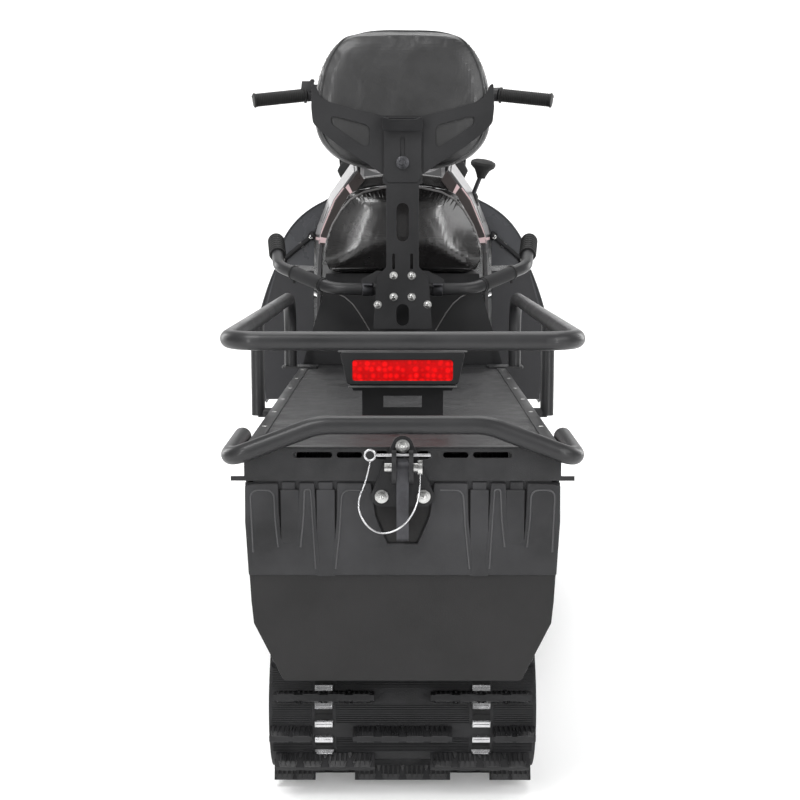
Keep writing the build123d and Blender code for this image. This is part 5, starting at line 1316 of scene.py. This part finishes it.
# Gathers under the seat's top seam and along the backrest's sides
pleats = bmesh.new()
seat_tree = tree_of(seat)
for n in range(34):
    x = -0.132 + 0.264 * n / 33
    if abs(x) < 0.030:
        continue
    z = 0.896 - 0.9 * abs(x) ** 1.72 - 0.003
    reach = 0.016 + 0.006 * math.sin(2.3 * n)
    spots = [Vector((x * (1 - 0.10 * share), -0.60, z - reach * share)) for share in spread(0, 1, 6)]
    points = cast(seat_tree, spots, REARWARD, 0.0002)
    if len(points) > 3:
        swept(pleats, points, lambda t: 0.0023 * (1 - t) + 0.0003, 6)
form("seat_gathers", pleats, seat_leather)
folds = bmesh.new()
back_tree = tree_of(backrest)
for n, p in enumerate(back_loop):
    if abs(p.x) < 0.135 or p.y < 1.02:
        continue
    away = Vector((p.x, 0, p.y - back_middle.y)).normalized()
    spots = [Vector((p.x, BACK_REAR + 0.012 + 0.034 * t, p.y)) + away * 0.1 for t in spread(0, 1, 6)]
    points = cast(back_tree, spots, away, -0.0026 if n % 2 else -0.0020)
    if len(points) > 3:
        swept(folds, points, lambda t: 0.0034 * math.sin(math.pi * min(max(t, 0.04), 0.96)), 8)
form("backrest_folds", folds, side_leather)

# Tyres and hub caps of the track's wheels
tyres, hubs = (bmesh.new() for _ in range(2))
for y, z, x, radius in mm([
    (-1319, 128, 78, 99.7), (-980, 90.3, 146, 62), (-560, 90.3, 146, 62), (-850, 337, 130, 69.7),
]):
    for side in (-1, 1):
        for face in (-1, 1):
            out = Vector((side * face, 0, 0))
            at = Vector((side * x, y, z)) + out * 0.0108
            turned(tyres, at, out, [(0, radius * 0.985), (0.0022, radius * 0.955), (0.0022, radius * 0.86),
                                    (0.0002, radius * 0.83)], 40)
        out = Vector((side, 0, 0))
        at = Vector((side * x, y, z)) + out * 0.0108
        turned(hubs, at, out, [(0, radius * 0.32), (0.003, radius * 0.31), (0.004, radius * 0.22),
                               (0.007, radius * 0.20), (0.0075, 0)], 24)
        for k in range(5):
            a = 2 * math.pi * k / 5
            bolt(hubs, at + Vector((0, math.cos(a), math.sin(a))) * radius * 0.26, out, 0.0042, 0.0045)
form("wheel_tyres", tyres, rubber_black)
form("wheel_hubs", hubs, zinc)

# Ridges along the skis, laid on their upper faces
for side, name in ((-1, "left"), (1, "right")):
    ridges = bmesh.new()
    tree = tree_of(NODES["ski_" + name])
    for offset in (-0.042, -0.026, 0.026, 0.042):
        path = []
        for y in spread(0.540, 1.490, 60):
            hit = tree.ray_cast(Vector((side * 0.370 + offset, y, 0.60)), Vector((0, 0, -1)))[0]
            if hit is not None and (not path or abs(hit.z - path[-1].z) < 0.02):
                path.append(hit)
        swept(ridges, path, 0.0022, 8)
    form("ski_ridges_" + name, ridges, ski_black, body=f"ski_{name}_leg")

# Engine under the hood: finned cylinders, plugs, starter, belt guard, airbox and silencer
CLUTCH = (-0.126, 0.870, 0.430)
fins, guards, pipes = (bmesh.new() for _ in range(3))
for y in (0.810, 0.930):
    profile = []
    for k in range(7):
        z = 0.010 * k
        profile += [(z, 0.043), (z + 0.001, 0.055), (z + 0.005, 0.055), (z + 0.006, 0.043)]
    turned(fins, (0, y, 0.543), (0, 0, 1), [(0, 0.050)] + profile + mm([(72, 40), (80, 24), (81, 0)]), 32)
    turned(guards, (0, y, 0.622), (0.5, 0, 1), mm([(0, 6), (12, 6.5), (14, 11), (40, 9.5), (44, 0)]), 16)
for k in range(9):
    z = 0.330 + 0.022 * k
    for side in (-1, 1):
        box_at(fins, (side * 0.124 - 0.005, 0.745, z), (side * 0.124 + 0.005, 0.995, z + 0.006))
turned(guards, CLUTCH, (-1, 0, 0), mm([(0, 92), (20, 92), (34, 80), (40, 50), (42, 0)]), 40)
for k in range(12):
    place = frame_at(CLUTCH, (-1, 0, 0)) @ Matrix.Rotation(2 * math.pi * k / 12, 4, "Z")
    slab(guards, place, (0.052, -0.004, 0.030), (0.084, 0.004, 0.0385), 0.001)
starter = eased(mm([(760, 350), (760, 500), (985, 500), (985, 350)]), 0.06, 8)
prism(guards, starter, sideways(0.126), 0.0, 0.052)
airbox = eased(mm([(-85, 560), (-85, 640), (85, 640), (85, 560)]), 0.02, 6)
prism(guards, airbox, upright(0.700), -0.034, 0.034)
swept(pipes, rounded(mm([(0, 850, 575), (85, 860, 585), (110, 960, 585), (95, 1070, 520)]), 0.05), 0.020, 20)
swept(pipes, rounded(mm([(0, 945, 575), (60, 960, 600), (95, 1030, 560), (95, 1070, 520)]), 0.04), 0.016, 20)
turned(pipes, (-0.105, 1.085, 0.490), (1, 0, 0),
       mm([(0, 20), (10, 42), (18, 46), (200, 46), (208, 42), (220, 20)]), 32)
form("engine_fins", fins, engine_cast)
form("engine_guards", guards, base_black, 0.0012)
form("engine_pipes", pipes, steel_dark)

# Rubber edge of the screen
SCREEN_FOOT, SCREEN_TOP = mm([(167.8, 566.5, 930), (186, 468, 1235)])
SCREEN_TURN = 0.794  # half the angle that the screen's top arc turns through
edging = bmesh.new()
half, y, z = SCREEN_TOP
arc = [Vector((half * math.sin(a) / math.sin(SCREEN_TURN),
               y + 0.078 * (math.cos(a) - math.cos(SCREEN_TURN)) / (1 - math.cos(SCREEN_TURN)), z))
       for a in spread(-SCREEN_TURN, SCREEN_TURN, 17)]
path = [Vector((-SCREEN_FOOT[0], *SCREEN_FOOT[1:]))] + arc + [Vector(SCREEN_FOOT)]
swept(edging, rounded(path, 0.012, 4), 0.0040, 10)
form("screen_edge", edging, rubber_black, body="hood_lid")

# Floor, backdrop and lights
def staged(name, profile, look, half=12):
    bm = bmesh.new()
    rows = [[bm.verts.new((x, y, z - 0.0005)) for x in (-half, half)] for y, z in profile]
    for low, high in zip(rows, rows[1:]):
        bm.faces.new((low[0], low[1], high[1], high[0]))
    mesh = bpy.data.meshes.new(name)
    bm.to_mesh(mesh)
    bm.free()
    mesh.shade_smooth()
    made = bpy.data.objects.new(name, mesh)
    bpy.context.scene.collection.objects.link(made)
    mesh.materials.append(look)


floor_pale = surface("floor_pale", (0.86, 0.86, 0.86), 0.7, mottle=(1.0, 0.01), grain=(90.0, 0.00005))
floor_pale.node_tree.nodes["Principled BSDF"].inputs["Emission Color"].default_value = (1, 1, 1, 1)
floor_pale.node_tree.nodes["Principled BSDF"].inputs["Emission Strength"].default_value = 0.20
staged("floor", [(-12.0, 0.0), (5.0, 0.0)] + [
    (5.0 + 3.0 * math.sin(a), 3.0 - 3.0 * math.cos(a)) for a in (0.2, 0.4, 0.6, 0.8, 1.0, 1.2, 1.4, 1.57)
] + [(8.0, 9.0)], floor_pale)

world = bpy.data.worlds.new("world")
bpy.context.scene.world = world
world.use_nodes = True
world.node_tree.nodes["Background"].inputs["Color"].default_value = (1, 1, 1, 1)
world.node_tree.nodes["Background"].inputs["Strength"].default_value = 0.30
bpy.context.scene.view_settings.view_transform = "Standard"

LIGHTS = (  # name, place, aim, width, height, power
    ("key", (-1.3, -3.0, 3.2), (0, -0.8, 0.6), 1.6, 1.2, 70),
    ("fill", (2.2, -2.8, 2.0), (0, -0.8, 0.6), 1.4, 1.4, 24),
    ("left_strip", (-1.4, -3.3, 1.1), (0, -0.43, 0.85), 0.22, 2.0, 22),
    ("right_strip", (1.4, -3.3, 1.1), (0, -0.43, 0.85), 0.22, 2.0, 22),
    ("top", (0, 0.2, 4.4), (0, -0.2, 0.5), 3.4, 3.6, 150),
    ("left_rim", (-3.4, 1.6, 1.6), (0, -0.2, 0.7), 1.2, 2.4, 70),
    ("right_rim", (3.4, 1.6, 1.6), (0, -0.2, 0.7), 1.2, 2.4, 70),
    ("back_wash", (0, 3.0, 5.0), (0, 8.0, 2.0), 6.0, 2.0, 330),
)
for name, at, aim, width, height, power in LIGHTS:
    lamp = bpy.data.lights.new(name, "AREA")
    lamp.shape = "RECTANGLE"
    lamp.size = width
    lamp.size_y = height
    lamp.energy = power
    shown = bpy.data.objects.new(name, lamp)
    shown.location = at
    shown.rotation_euler = (Vector(at) - Vector(aim)).to_track_quat("Z", "Y").to_euler()
    bpy.context.scene.collection.objects.link(shown)
